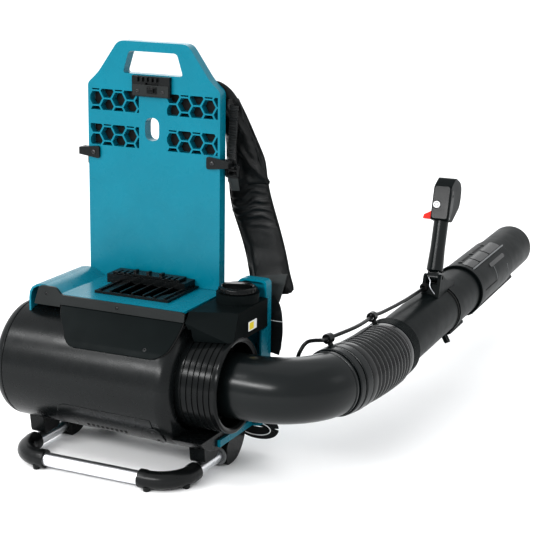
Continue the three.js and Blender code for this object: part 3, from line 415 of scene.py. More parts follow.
def lathe(name, profile, at, direction, place=MACHINE, segments=96):
    """Turns a closed profile of (station, radius) points about an axis."""
    direction = Vector(direction).normalized()
    side, other = across(direction)
    verts = []
    for k in range(segments):
        angle = math.radians(360 * k / segments)
        out = side * math.cos(angle) + other * math.sin(angle)
        verts += [Vector(at) + direction * station + out * radius for station, radius in profile]
    return link(name, verts, ring_faces(segments, len(profile)), place)


def curve_points(points, per_span):
    """A smooth run through given points (Catmull-Rom)."""
    points = [Vector(p) for p in points]
    padded = [points[0] * 2 - points[1]] + points + [points[-1] * 2 - points[-2]]
    result = []
    for a, b, c, d in zip(padded, padded[1:], padded[2:], padded[3:]):
        for k in range(per_span):
            t = k / per_span
            result.append(0.5 * (2 * b + (c - a) * t + (2 * a - 5 * b + 4 * c - d) * t * t
                                 + (3 * b - a - 3 * c + d) * t * t * t))
    return result + [points[-1]]


def bent(points, radius, step):
    """Straight runs joined by arcs of one radius, as closely spaced points."""
    points = [Vector(p) for p in points]
    result = [points[0]]
    for before, here, after in zip(points, points[1:], points[2:]):
        first, second = (before - here).normalized(), (after - here).normalized()
        half = first.angle(second) / 2
        reach = radius / math.tan(half)
        centre = here + (first + second).normalized() * radius / math.sin(half)
        enter, leave = here + first * reach - centre, here + second * reach - centre
        count = max(6, int(radius * (math.pi - 2 * half) / step))
        sweep = math.pi - 2 * half
        for k in range(count + 1):
            t = k / count
            result.append(centre + (enter * math.sin((1 - t) * sweep) + leave * math.sin(t * sweep))
                          / math.sin(sweep))
    return result + [points[-1]]


def about_pipe(name, profile, place=PIPE, segments=96):
    """Turns a profile about the axis of the pipe, or of the elbow's cuff."""
    return lathe(name, profile, (0, 0, 0), Y, place, segments)


def sweep(name, points, section, place=MACHINE, up=None, closed_ends=True):
    """Sweeps a closed section of (side, up) points along a path, with end caps."""
    tangents = []
    for k, point in enumerate(points):
        before, after = points[max(k - 1, 0)], points[min(k + 1, len(points) - 1)]
        tangents.append((after - before).normalized())
    side = (Vector(up).cross(tangents[0]) if up else across(tangents[0])[0]).normalized()
    verts = []
    sections = section if callable(section) else lambda t: section
    for k, (point, heading) in enumerate(zip(points, tangents)):
        if up:
            side = Vector(up).cross(heading).normalized()
        else:
            side = (side - heading * side.dot(heading)).normalized()
        lift = heading.cross(side)
        verts += [point + side * a + lift * b for a, b in sections(k / (len(points) - 1))]
    count, size = len(points), len(sections(0))
    faces = ring_faces(count, size, closed=False) + (end_faces(count, size) if closed_ends else [])
    return link(name, verts, faces, place)


def polar(radius, degrees):
    """The two coordinates of a point at a distance and an angle."""
    return radius * math.cos(math.radians(degrees)), radius * math.sin(math.radians(degrees))


def round_section(radius, sides):
    return [(radius * math.cos(math.tau * k / sides), radius * math.sin(math.tau * k / sides))
            for k in range(sides)]


def rounded_rectangle(x0, x1, y0, y1, radius, steps=5):
    points = []
    for cx, cy, first in ((x1 - radius, y1 - radius, 0), (x0 + radius, y1 - radius, 90),
                          (x0 + radius, y0 + radius, 180), (x1 - radius, y0 + radius, 270)):
        for k in range(steps + 1):
            over, rise = polar(radius, first + 90 * k / steps)
            points.append((cx + over, cy + rise))
    return points


def slab(name, outline, low, high, place=MACHINE, plane="XZ"):
    """A flat outline in a plane, made solid between two stations along the plane's normal."""
    order = {"XZ": (0, 2, 1), "XY": (0, 1, 2), "YZ": (2, 0, 1)}[plane]

    def spot(a, b, station):
        return tuple((a, b, station)[k] for k in order)

    size = len(outline)
    verts = [spot(a, b, low) for a, b in outline] + [spot(a, b, high) for a, b in outline]
    faces = [tuple(range(size)), tuple(range(size, 2 * size))]
    faces += [(i, (i + 1) % size, size + (i + 1) % size, size + i) for i in range(size)]
    return link(name, verts, faces, place)


def merged(name, *objects):
    """Several meshes as one piece."""
    work = bmesh.new()
    for obj in objects:
        work.from_mesh(obj.data)
        bpy.data.objects.remove(obj)
    mesh = bpy.data.meshes.new(name)
    work.to_mesh(mesh)
    work.free()
    return placed(name, mesh)


def patch(name, surface, rows, columns, left, right, thickness, place=MACHINE):
    """A plate on a curved surface.

    surface(x, t, depth) is a point, and the row at t runs from left(t) to right(t).
    """
    verts, faces = [], []
    for depth in (0, thickness):
        for i in range(rows + 1):
            t = i / rows
            for j in range(columns + 1):
                x = left(t) + (right(t) - left(t)) * j / columns
                verts.append(surface(x, t, depth))
    width, count = columns + 1, (rows + 1) * (columns + 1)
    for i in range(rows):
        for j in range(columns):
            a = i * width + j
            faces.append((a, a + 1, a + width + 1, a + width))
            faces.append((count + a, count + a + width, count + a + width + 1, count + a + 1))
    border = list(range(width)) + [i * width + columns for i in range(1, rows + 1)]
    border += [rows * width + j for j in range(columns - 1, -1, -1)]
    border += [i * width for i in range(rows - 1, 0, -1)]
    for a, b in zip(border, border[1:] + border[:1]):
        faces.append((a, b, count + b, count + a))
    return link(name, verts, faces, place)


def screw(name, at, direction, radius, place=MACHINE):
    """A pan-head screw with a six-lobed socket, standing in its recess."""
    direction = Vector(direction).normalized()
    profile = [(-1.5, 0.4), (-1.5, radius), (0.6, radius), (1.4, radius * 0.8), (1.8, radius * 0.45),
               (0.2, radius * 0.40), (0.2, 0.4)]
    head = lathe(name, profile, at, direction, place, 18)
    return dress(soften(head, 0), "screw", "frame")


# ------------------------------------------------------------------ back panel and latch
HONEYCOMB = {"middle": -6, "inner": 20, "outer": 121, "low": 560, "high": 697}
PANEL_FRONT_DEPTH = 12


def panel_rounding(spot):
    """The panel's outer edges, carry handle and slot are well rounded; the thin honeycomb walls hardly."""
    in_blocks = (HONEYCOMB["low"] < spot.z < HONEYCOMB["high"]
                 and HONEYCOMB["inner"] < abs(spot.x - HONEYCOMB["middle"]) < HONEYCOMB["outer"])
    return 0.12 if in_blocks or spot.y > PANEL_FRONT_DEPTH else 1.0


refined("back_panel", "teal", width=3.2, segments=4, merge_faces=False, weight=panel_rounding)
refined("panel_spacer", "seal", width=0.3)
spacer_low, spacer_high = [MACHINE.inverted() @ Vector(corner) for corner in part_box("panel_spacer")]
for side, x in (("left", spacer_low.x), ("right", spacer_high.x)):
    strip = slab(f"spacer_edge_{side}", rounded_rectangle(x - 4.2, x + 4.2, spacer_low.z, spacer_high.z, 2),
                 spacer_high.y + 0.1, spacer_high.y + 1.6)
    dress(soften(strip, 0.3), "seal", "frame")
refined("latch_plate", "black", width=0.7)
refined("latch_catch", "gloss", "latch", width=0.8)
lower_plate = slab("latch_lower_plate", rounded_rectangle(-38, 38, 678.5, 699, 2), -9.2, -7.6, PANEL)
dress(soften(lower_plate, 0.5), "grey", "frame")
for x in (-27, 26):
    screw(f"latch_screw_{'left' if x < 0 else 'right'}", (x, -9.2, 687), -Y, 3.4, PANEL)
for side, sign in (("left", -1), ("right", 1)):
    refined(f"strap_anchor_{side}", "black", width=1.0)
    screw(f"anchor_screw_{side}", (sign * 127, -5.2, 563), -Y, 4.2, PANEL)

# ------------------------------------------------------------------ rear housing, deck and connector tray
refined("rear_housing", "teal", width=1.5, segments=3)
refined("connector_tray", "black", width=0.6)
refined("terminal_block", "black", width=0.5)
refined("deck_trim", "grey", width=0.7)
for x, z in ((-142, 320), (10, 311)):
    screw(f"trim_screw_{int(x + 200)}", (x, -161.5, z), -Y, 2.8)


# ------------------------------------------------------------------ fan housing
def fan_radius(x):
    """The tapered housing's radius at a station along its axis."""
    share = (x - FAN["split"]) / (FAN["right"] - FAN["shoulder"] - FAN["split"])
    return FAN["r_left"] + (FAN["r_right"] - FAN["r_left"]) * max(0, min(share, 1))


def on_fan(x, degrees, lift):
    """A point at a height above the housing's surface."""
    over, rise = polar(fan_radius(x) + lift, degrees)
    return (x, FAN["y"] + over, FAN["z"] + rise)


def outward(degrees):
    """The direction straight out of the housing at an angle about its axis."""
    return Vector((0, *polar(1, degrees)))


def rounded_end(end, radius, rounding, way, angles):
    """The profile of a shell's rounded end, which faces +X where way is 1 and -X where it is -1."""
    points = []
    for degrees in angles:
        lower, along = polar(rounding, degrees)
        points.append((end - way * rounding + way * along, radius - rounding + lower))
    return points


FAN_AXIS = Vector((0, FAN["y"], FAN["z"]))
inner_right = FAN["right"] - FAN["wall"]
shoulder = rounded_end(FAN["right"], FAN["r_right"], FAN["shoulder"], 1, range(0, 85, 7))
shell = lathe("fan_shell", [(FAN["split"] + 0.3, FAN["r_left"] - 1.2), (FAN["split"] + 1.5, FAN["r_left"]),
                            (-40, fan_radius(-40))] + shoulder
              + [(FAN["right"], 92.5), (FAN["right"], 88.5), (inner_right, 88.5),
                 (inner_right, FAN["r_right"] - 24), (FAN["right"] - 20, FAN["r_right"] - FAN["wall"]),
                 (FAN["split"] + 0.3, FAN["r_left"] - FAN["wall"])], FAN_AXIS, X, segments=144)
dress(soften(shell, 0.5, angle=40), "black", "frame", "fan_housing")


def cradle_section(radius, top):
    """The part of a circle about the fan's axis that lies below a height, as (y, z) points."""
    low = math.degrees(math.asin((top - FAN["z"]) / radius))
    around = [polar(radius, 180 - low + (180 + 2 * low) * k / 40) for k in range(41)]
    return [(FAN["y"] + over, FAN["z"] + rise) for over, rise in around]


cradle = slab("fan_cradle", cradle_section(FAN["r_right"], 92), 140, 200, plane="YZ")
dress(soften(cradle, 2.0, 3), "black", "frame")

bell = rounded_end(FAN["left"], FAN["r_left"], FAN["rim"], -1, range(0, 91, 9))
ring = lathe("intake_bell", [(FAN["split"] - 1.2, FAN["r_left"])] + bell[1:]
             + [(FAN["left"] + 3, 86.5), (FAN["left"] + 8, 86), (FAN["left"] + 14, FAN["r_left"] - 12),
                (FAN["split"], FAN["r_left"] - FAN["wall"]), (FAN["split"], FAN["r_left"] - 1.5)],
             FAN_AXIS, X, segments=144)
dress(soften(ring, 0.5, angle=40), "black", "frame", "intake_ring")

grille_at = FAN_AXIS + X * (FAN["left"] + 12)
bars = []
for radius in (82, 70, 58, 46, 34):
    hoop = [grille_at + outward(k * 5) * radius for k in range(73)]
    bars.append(sweep(f"hoop_{radius}", hoop, round_section(1.7, 8), closed_ends=False))
for k in range(8):
    spoke = [grille_at + outward(k * 45) * radius for radius in (18, 50, 84.5)]
    bars.append(sweep(f"spoke_{k}", spoke, round_section(2, 8)))
hub_profile = [(-2, 0.2), (-2, 18), (-1, 20), (2, 20), (2, 0.2)]
bars.append(lathe("hub_cap", hub_profile, grille_at, X, segments=48))
dress(soften(merged("intake_guard", *bars), 0), "black", "frame", "intake_grille")

groove_pitch, first_groove = 11.5, 163
collar = [(144, 88), (inner_right - 0.4, 88), (inner_right - 0.4, 85.6), (153, 85.6), (156, 87.2)]
for k in range(6):
    x = first_groove + k * groove_pitch
    collar += [(x - 1.3, 87.6), (x - 0.9, 85.4), (x + 0.9, 85.4), (x + 1.3, 87.6)]
collar += [(227, 88.2), (230, 89.2), (233, 88.6), (234.6, 86), (234, 82), (231, 78), (224, 76.3),
           (180, 76.6), (144, 79)]
lip = lathe("collar_body", collar, OUTLET, X, segments=144)
dress(soften(lip, 0.35, angle=30, shade=40), "gloss", "frame", "outlet_collar")


# ------------------------------------------------------------------ plates on the fan housing
def cover_surface(x, t, depth):
    """From the deck trim down a flat slope and then round the fan housing."""
    radius = fan_radius(x) + 2.6 - depth
    tangent_at, last = 141.0, 146.5
    centre = Vector((FAN["y"], FAN["z"]))
    foot = centre + Vector(polar(radius, tangent_at))
    head = Vector((-162.6 + depth * 0.9, 301.2))
    slope, bend = (head - foot).length, math.radians(last - tangent_at) * radius
    run = t * (slope + bend)
    if run < slope:
        return (x, *head.lerp(foot, run / slope))
    return (x, *(centre + Vector(polar(radius, tangent_at + math.degrees((run - slope) / radius)))))


def rounding_inset(distance, corner):
    """How far a rounded corner pulls a side in at a distance from the plate's end."""
    return corner - math.sqrt(max(corner ** 2 - (corner - distance) ** 2, 0)) if distance < corner else 0


COVER = {"left": -109, "right": 146, "run": 78}


def cover_plate(name, grow, sunk):
    """The cover's plate, or, where grow and sunk make it wider and deeper, a dark rim round it that paints
    the shade of the groove.
    """
    def left(t):
        return COVER["left"] - grow + rounding_inset((1 - t) * COVER["run"], 22) + 34 * t * t * (3 - 2 * t)

    def right(t):
        return COVER["right"] + grow - 16 * t ** 2 - rounding_inset((1 - t) * COVER["run"], 24)

    return patch(name, lambda x, t, depth: cover_surface(x, t, depth + sunk), 44, 40, left, right, 5)


# A dark matte rim sunk round the cover plate: painted shade of the groove round the cover.
dress(soften(cover_plate("front_cover_groove_shade", 1.8, 1.9), 0, 3, shade=50), "seal", "frame")
plate = cover_plate("front_cover_plate", 0, 0)
dress(soften(plate, 1.2, 3, shade=50), "satin", "frame", "front_cover")
screw("cover_screw", cover_surface(92, 0.80, 0.5), outward(148), 3.6)


def panel_surface(a0, a1, lift):
    return lambda x, t, depth: on_fan(x, a0 + (a1 - a0) * t, lift - depth)


lower = patch("lower_plate", panel_surface(203, 234, 1.4), 30, 30,
              lambda t: -84 - 22 * t + 10 * max(0, 0.12 - t) / 0.12, lambda t: 112 + 4 * t, 4)
dress(soften(lower, 1.0, 3, shade=50), "black", "frame")
# Dark matte patches standing proud of the lower plate: painted shade in its vent slots.
for k in range(9):
    x = -34 + k * 10
    vent = patch(f"lower_vent_shade_{k}", panel_surface(226, 231, 1.9), 3, 4,
                 lambda t, x=x: x - 3 - 2 * t, lambda t, x=x: x + 3 - 2 * t, 3)
    dress(soften(vent, 0.5), "seal", "frame")
boss = patch("lower_boss", panel_surface(212, 236, 2.6), 20, 16,
             lambda t: 96 + 10 * (abs(2 * t - 1) ** 4), lambda t: 128 - 8 * (abs(2 * t - 1) ** 4), 5)
dress(soften(boss, 1.4, 3, shade=50), "black", "frame")
for k, degrees in enumerate((217, 231)):
    screw(f"boss_screw_{k}", on_fan(112, degrees, 2.0), outward(degrees), 3.4)

# ------------------------------------------------------------------ side cover and knob
refined("side_cover", "satin", width=1.4, segments=3)
screw("side_screw", (184, -142.6, 294), Vector((0.15, -1, 0.3)), 3.4)
refined("control_board", "board", width=0.2)
refined("heat_sink", "alloy", width=0.3)
label_place = MACHINE @ shift(235.4, -62, 285)
label = slab("side_label", rounded_rectangle(-17, 17, -9, 9, 1.5), 0, 0.5, label_place, "YZ")
dress(soften(label, 0.15), "white", "frame")
label_mark = slab("side_label_field", rounded_rectangle(-13, 4, -6.5, 6.5, 1), 0.4, 0.8, label_place, "YZ")
dress(soften(label_mark, 0.1), "yellow", "frame")

knob_at = Vector((194, -40, 0))
KNOB = MACHINE @ Matrix.Translation(knob_at)
cap = lathe("knob_cap", [(324, 0.4), (324, 22), (338, 22), (338, 33.5), (339.5, 35), (345, 35), (347.5, 33.5),
                         (349, 30), (346.5, 27.5), (345, 26), (345, 0.4)], knob_at, Z, segments=96)
rib_outline = rounded_rectangle(-1.3, 1.3, 31.4, 36, 0.6)
ribs = [slab(f"knob_rib_{k}", rib_outline, 340, 346, KNOB @ turn(k * 15, "Z"), "XY")
        for k in range(24) if k % 6 != 3]
wing_outline = [(-27, 0), (-24, -5), (-9, -6.5), (9, -6.5), (24, -5),
                (27, 0), (24, 5), (9, 6.5), (-9, 6.5), (-24, 5)]
wing = slab("knob_wing", wing_outline, 344, 353.6, KNOB @ turn(20, "Z"), "XY")
dress(soften(merged("knob", cap, wing, *ribs), 0.8, 3), "gloss", "knob", "adjuster_knob")

# ------------------------------------------------------------------ motor and fan
refined("motor_mount", "grey", width=0.4, shade=40)
refined("motor_can", "steel", width=0.8, shade=40)
refined("tail_cone", "black", width=0.8, shade=50)
refined("motor_bearing", "steel", width=0.3, shade=40)
refined("motor_shaft", "steel", "rotor", width=0.3, shade=40)
refined("impeller", "grey", "rotor", width=0.5, shade=45)

# ------------------------------------------------------------------ foot frame
FOOT = {"r": 13, "z": 20, "front": -226, "left": -181, "right": 165, "back": -22, "bend": 60}
foot_line = [(FOOT[side], FOOT[end], FOOT["z"]) for side, end in (("left", "back"), ("left", "front"),
                                                                  ("right", "front"), ("right", "back"))]


def sleeve_section(t):
    """A rubber sleeve's section, with a bead at each end."""
    bead = 1.0 if t < 0.06 or t > 0.94 else 0
    return round_section(FOOT["r"] + 3.6 + bead, 40)


tube = sweep("foot_tube_body", bent(foot_line, FOOT["bend"], 5), round_section(FOOT["r"], 40))
dress(soften(tube, 0.8), "alloy", "frame", "foot_tube")
for side, sign in (("left", -1), ("right", 1)):
    arm_x = FOOT[side]
    corner = [(arm_x, -152, FOOT["z"]), (arm_x, FOOT["front"], FOOT["z"]),
              (arm_x - sign * 72, FOOT["front"], FOOT["z"])]
    parts = [sweep("sleeve", bent(corner, FOOT["bend"], 4), sleeve_section)]
    nub_profile = [(0, 0.3), (0, 5.4), (1.2, 6.3), (9, 7.5), (9, 0.3)]
    for x, y in ((arm_x - sign * 55, -233), (arm_x + sign * 2, -188)):
        parts.append(lathe("nub", nub_profile, (x, y, 0), Z, segments=28))
    dress(soften(merged(f"corner_sleeve_{side}", *parts), 0.8, 3), "rubber", "frame", f"corner_foot_{side}")
    refined(f"rear_bracket_{side}", "black", width=1.2)
    refined(f"housing_bracket_{side}", "black", width=1.2)
refined("heel", "rubber", width=1.6, segments=3)
# A light grey ring round the right foot tube near its rear end: a painted highlight along the bracket's
# parting line.
stripe = lathe("bracket_highlight_ring", [(0, 13.4), (0, 19.5), (3, 19.5), (3, 13.4)],
               (FOOT["right"], -62, FOOT["z"]), -Y, segments=40)
dress(soften(stripe, 0.5), "blank", "frame")

# ------------------------------------------------------------------ elbow, bellows and pipe
elbow_line = bent([OUTLET + X * ELBOW["start"], elbow_corner, elbow_out], ELBOW["arc_r"], 4)


def hollow(name, points, outer_radius, inner_radius):
    """A tube along a path, open at both ends, with a real wall."""
    sides = 72
    last = len(points) - 1
    headings = [(points[min(k + 1, last)] - points[max(k - 1, 0)]).normalized() for k in range(last + 1)]
    side = across(headings[0])[0]
    starts = []
    for heading in headings:
        side = (side - heading * side.dot(heading)).normalized()
        starts.append(side)
    rings = [(k, outer_radius) for k in range(last + 1)] + [(k, inner_radius) for k in range(last, -1, -1)]
    verts = []
    for k, radius in rings:
        lift = headings[k].cross(starts[k])
        verts += [points[k] + starts[k] * a + lift * b for a, b in round_section(radius, sides)]
    return link(name, verts, ring_faces(len(rings), sides))


elbow_tube = hollow("elbow_tube", elbow_line, ELBOW["r"], ELBOW["r"] - ELBOW["wall"])
flange = lathe("flange", [(182, 58), (182, 76), (187, 76), (187, 60), (198, 60), (198, 58)], OUTLET, X)
bead_at = [(-10, 60), (-9, 61.4), (-5, 61.4), (-4, 60), (-4, 58.5), (-10, 58.5)]
elbow_bead = about_pipe("bead", bead_at, CUFF)
dress(soften(merged("elbow_body", elbow_tube, flange, elbow_bead), 0, shade=45), "duct", "elbow", "elbow")
refined("swivel_ring", "seal", width=0.5, shade=40)

cuff_profile = [(0.5, 58), (0.5, 62.5), (2, 64), (14, 64.8), (15.5, 63), (16, 61), (19, 61), (19.5, 63.4),
                (21, 65), (36, 65.4), (38.5, 64.4), (40.5, 61), (40.5, 58)]
cuff = about_pipe("cuff_near", cuff_profile, CUFF)
dress(soften(cuff, 0.4, shade=40), "duct", "elbow", "elbow_cuff")


def along_bellows(name, profile):
    """A profile of (station, radius) turned about the bellows' curved centre line."""
    sides = 96
    verts = []
    for k in range(sides):
        angle = math.tau * k / sides
        for station, radius in profile:
            heading = bellows_heading(station)
            out = Vector((math.cos(heading), math.sin(heading), 0)) * math.cos(angle) + Z * math.sin(angle)
            verts.append(bellows_centre(station) + out * radius)
    return link(name, verts, ring_faces(sides, len(profile)))


rib_count, smooth_end = 10, 20
rib_pitch = (BELLOWS_LENGTH - 2 * smooth_end) / rib_count
bellows_profile = [(0.4, 54), (0.4, 61), (3, 64), (smooth_end - 5, 64.2), (smooth_end - 2, 62.5),
                   (smooth_end, 59)]
for k in range(rib_count):
    for step in range(1, 9):
        station = smooth_end + rib_pitch * (k + step / 8)
        bellows_profile.append((station, 58.6 + 4.6 * math.sin(math.pi * step / 8) ** 0.7))
bellows_profile += [(BELLOWS_LENGTH - smooth_end + 3, 61), (BELLOWS_LENGTH - 3, 61),
                    (BELLOWS_LENGTH - 0.4, 60), (BELLOWS_LENGTH - 0.4, 54)]
bend_start, bend_end = [MACHINE @ bellows_centre(station)
                        for station in (smooth_end, BELLOWS_LENGTH - smooth_end)]
dress(soften(along_bellows("bellows_hose", bellows_profile), 0, shade=80), "bellows", "elbow", "bellows",
      blend=("pipe", bend_start, bend_end))

far_cuff = [(1, 52.8), (1, 60), (2.5, 61)]
for k in range(9):
    far_cuff += [(4 + k * 4, 61), (4.6 + k * 4, 60.1), (5.4 + k * 4, 60.1), (6 + k * 4, 61)]
far_cuff += [(40, 58.5), (44, 54.5), (44, 52.8)]
cuff = about_pipe("cuff_far", far_cuff, segments=120)
dress(soften(cuff, 0.2, shade=40), "satin", "pipe", "pipe_cuff")

main = [(1, 50.9), (1, 52.5), (350, 52.5), (350, 49.4), (342, 49.4), (338, 50.9)]
pipe = about_pipe("main_pipe_body", main)
hook_outline = [(51, 326), (68, 326), (72, 329), (74, 340), (73, 343), (51, 343), (51, 336), (68, 336),
                (68, 334), (62, 332), (51, 332)]
hook = slab("hook", hook_outline, -4, 4, PIPE @ turn(62, "Y"), "XY")
dress(soften(merged("main_pipe_tube", pipe, hook), 0.6, shade=40), "satin", "pipe", "main_pipe")
seal_profile = [(343.5, 52.6), (343.5, 53.6), (344.5, 54), (349.6, 54), (350.4, 53.4), (350.4, 52.6)]
dress(soften(about_pipe("pipe_end_seal", seal_profile), 0), "seal", "pipe")
inner_profile = [(311, 49), (350.7, 49), (350.7, 53.5), (640, 53.5), (640, 51.9), (353, 51.9),
                 (352, 47.4), (311, 47.4)]
inner = about_pipe("inner_pipe_tube", inner_profile)
dress(soften(inner, 0.2, shade=40), "satin", "pipe", "inner_pipe")


# ------------------------------------------------------------------ nozzle
SLEEVE_RADIUS, SUNK_DEPTH = 57, 1.2


def on_pipe(station, degrees, radius):
    over, rise = polar(radius, degrees)
    return Vector((over, station, rise))


def sleeve_radius(station):
    """The slightly tapered sleeve's radius, and the plain tip's past its end."""
    return 57.2 - 1.2 * (station - 540) / 272 if station < 812 else 52.5


def raised(name, stations, angles, proud, look, corner=3.0, width=0.5):
    """A plate standing proud of the nozzle's sleeve, with rounded corners."""
    first, last = stations
    run = last - first

    def inset(t):
        return math.degrees(rounding_inset(min(t, 1 - t) * run, corner) / SLEEVE_RADIUS)

    def surface(degrees, t, below):
        station = first + run * t
        return on_pipe(station, degrees, sleeve_radius(station) + proud - below)

    plate = patch(name, surface, max(12, int(run / 4)), 12,
                  lambda t: angles[0] + inset(t), lambda t: angles[1] - inset(t),
                  proud + SUNK_DEPTH, PIPE)
    return dress(soften(plate, width, 2, shade=50), look, "nozzle")


sleeve_profile = [(522, 54.3), (522, 57.6), (523.5, 59), (538, 59), (540, 57.2), (541.5, 56.8),
                  (812, 56), (813.5, 54.4), (816, 52.5), (1016.5, 52.5), (1018, 51.8), (1018, 50.9),
                  (810, 50.7), (806, 54), (541, 55), (537, 54.3)]
sleeve = about_pipe("nozzle_sleeve", sleeve_profile, segments=120)
runner_outline = [(51.6, -7), (59.5, -7), (61, -5.5), (61, 5.5), (59.5, 7), (51.6, 7)]
runner = slab("nozzle_runner", runner_outline, 532, 900, PIPE @ turn(60, "Y"), "XZ")
dress(soften(merged("nozzle_tube", sleeve, runner), 0.6, shade=40), "satin", "nozzle", "nozzle")
seam_profile = [(812.6, 52.2), (812.6, 55.6), (814.2, 55.2), (815.4, 53.1), (815.4, 52.2)]
dress(soften(about_pipe("nozzle_seam", seam_profile), 0), "seal", "nozzle")
for k, stations in enumerate(((545, 606), (611, 693), (698, 796))):
    raised(f"nozzle_panel_{k}", stations, (62, 88), 0.9, "gloss")
dot_profile = [(-1.2, 1.8), (-1.2, 5), (0.9, 5), (1.4, 4.4), (1.4, 2.6), (0.6, 1.8)]
for k, station in enumerate((564, 656, 756)):
    dot = lathe(f"nozzle_dot_{k}", dot_profile, on_pipe(station, 97, sleeve_radius(station)),
                on_pipe(0, 97, 1), PIPE, 24)
    dress(soften(dot, 0), "grey", "nozzle")
# Dark matte patches on the sleeve: painted shade in its two slots.
for k, stations in enumerate(((580, 640), (672, 740))):
    raised(f"nozzle_slot_shade_{k}", stations, (94, 100), 0.25, "seal")
# A light grey strip along the ridge of the nozzle's runner: a painted highlight.
raised("nozzle_rail_highlight", (540, 811), (57.4, 60.6), 2.8, "blank", 1.0, 0.6)
raised("nozzle_side_panel", (640, 770), (36, 46), 0.8, "gloss", 4)
raised("nozzle_arc_0", (661, 663.4), (4, 36), 0.5, "blank", 0.8, 0.3)
raised("nozzle_arc_1", (764, 766.4), (-4, 18), 0.5, "blank", 0.8, 0.3)
# A dark matte strip along the sleeve: painted shade of a groove.
raised("nozzle_groove_shade", (560, 664), (-1.4, 1.4), 0.25, "seal", 1.0, 0)

# ------------------------------------------------------------------ handle
refined("handle_clamp", "satin", "pipe", width=1.6, segments=3)
socket_profile = [(-6, 3.9), (-6, 8.5), (4, 8.5), (6.5, 7), (6.5, 3.9)]
socket = lathe("cable_socket", socket_profile, (-7, HANDLE_Y - 21, 66), -Y, PIPE, 36)
dress(soften(socket, 0.3), "seal", "pipe")
wire_line = curve_points([(1, 286, 86), (6, 280, 80), (6, 277, 72), (10, 275, 64), (17, 277, 54)], 8)
dress(soften(sweep("spring_wire", wire_line, round_section(1.4, 12), PIPE), 0), "steel", "pipe")
refined("handle_pin", "steel", "pipe", width=0.4)
refined("grip", "duct", "handle", width=1.0, shade=40)
refined("control_head", "satin", "handle", width=2.6, segments=4)
plate_place = GRIP @ shift(0, -20, 118.3) @ turn(1.55, "X")
plate_face = slab("button_plate", rounded_rectangle(-16.5, 16.5, 3, 71, 5), -1.6, 0.2, plate_place, "XZ")
bore = lathe("bore", [(-6, 0), (-6, 8.8), (6, 8.8), (6, 0)], (-8, 0, 31.7), Y, plate_place, 40)
drill = plate_face.modifiers.new("drill", "BOOLEAN")
drill.object = bore
drill.operation = "DIFFERENCE"
drill.solver = "EXACT"
apply_modifiers(plate_face)
bpy.data.objects.remove(bore)
dress(soften(plate_face, 0.5, 2), "gloss", "handle")
side_outline = [(-17, 124), (-4, 124), (4, 142), (6, 168), (-2, 182), (-16, 184)]
dress(soften(slab("head_side_plate", side_outline, 18.4, 19.8, GRIP, "YZ"), 0.4), "grey", "handle")
# A dark matte patch on the side plate: painted shade in a hole in the head.
hole = slab("head_side_hole_shade", rounded_rectangle(-8, -2, 169, 175, 1), 19.7, 20.1, GRIP, "YZ")
dress(soften(hole, 0.1), "seal", "handle")
label = slab("head_label", rounded_rectangle(-16, -8, 121.5, 126, 0.8), 19.6, 20.1, GRIP, "YZ")
dress(soften(label, 0.1), "blank", "handle")
refined("trigger", "gloss", "trigger", width=1.2, segments=3)
lever = refined("lock_lever", "red", "lever", width=1.4, segments=3)
LEVER = {"root": -19.3, "reach": 17.7, "low": 120, "height": 19, "drop": 10}
for vertex in lever.data.vertices:  # the lever's top slopes down to its free end
    spot = GRIP.inverted() @ vertex.co
    out, lift = (LEVER["root"] - spot.x) / LEVER["reach"], (spot.z - LEVER["low"]) / LEVER["height"]
    spot.z -= LEVER["drop"] * min(max(out, 0), 1) * min(max(lift, 0), 1)
    vertex.co = GRIP @ spot
button_at = (-8, -25.5, 150)
button_profile = [(0, 0.3), (0, 6.2), (0.8, 7.4), (6, 7.6), (6, 0.3)]
button = lathe("power_button_cap", button_profile, button_at, Y, GRIP, 40)
dress(soften(button, 0), "white", "button", "power_button")
ring_profile = [(-0.25, 3.6), (-0.25, 4.3), (0.3, 4.3), (0.3, 3.6)]
dress(soften(lathe("power_button_ring", ring_profile, button_at, Y, GRIP, 32), 0), "grey", "button")

# ------------------------------------------------------------------ signal cable and its clips
UP_SIDE, EYE_LIFT, CABLE_R = math.radians(114), 13, 3.6


def in_machine(place, point):
    return MACHINE.inverted() @ place @ Vector(point)


def eye_at(station, radius):
    return ((radius + EYE_LIFT) * math.cos(UP_SIDE), station, (radius + EYE_LIFT) * math.sin(UP_SIDE))


near_eye, far_eye = in_machine(CUFF, eye_at(33, 65)), in_machine(PIPE, eye_at(9, 61))
clamp_end = in_machine(PIPE, (-7, HANDLE_Y - 25, 64))
grommet_at = Vector((232.3, 22, 160))


def past(eye, yaw, distance):
    """A point straight on from a clip's eye, along the pipe or back where the distance is negative."""
    return eye + Vector((-math.sin(math.radians(yaw)), math.cos(math.radians(yaw)), 0)) * distance


def past_near(distance):
    return past(near_eye, YAW_ELBOW, distance)


def past_far(distance):
    return past(far_eye, YAW_PIPE, distance)


def cable(name, points):
    return soften(sweep(name, curve_points(points, 12), round_section(CABLE_R, 20)), 0)


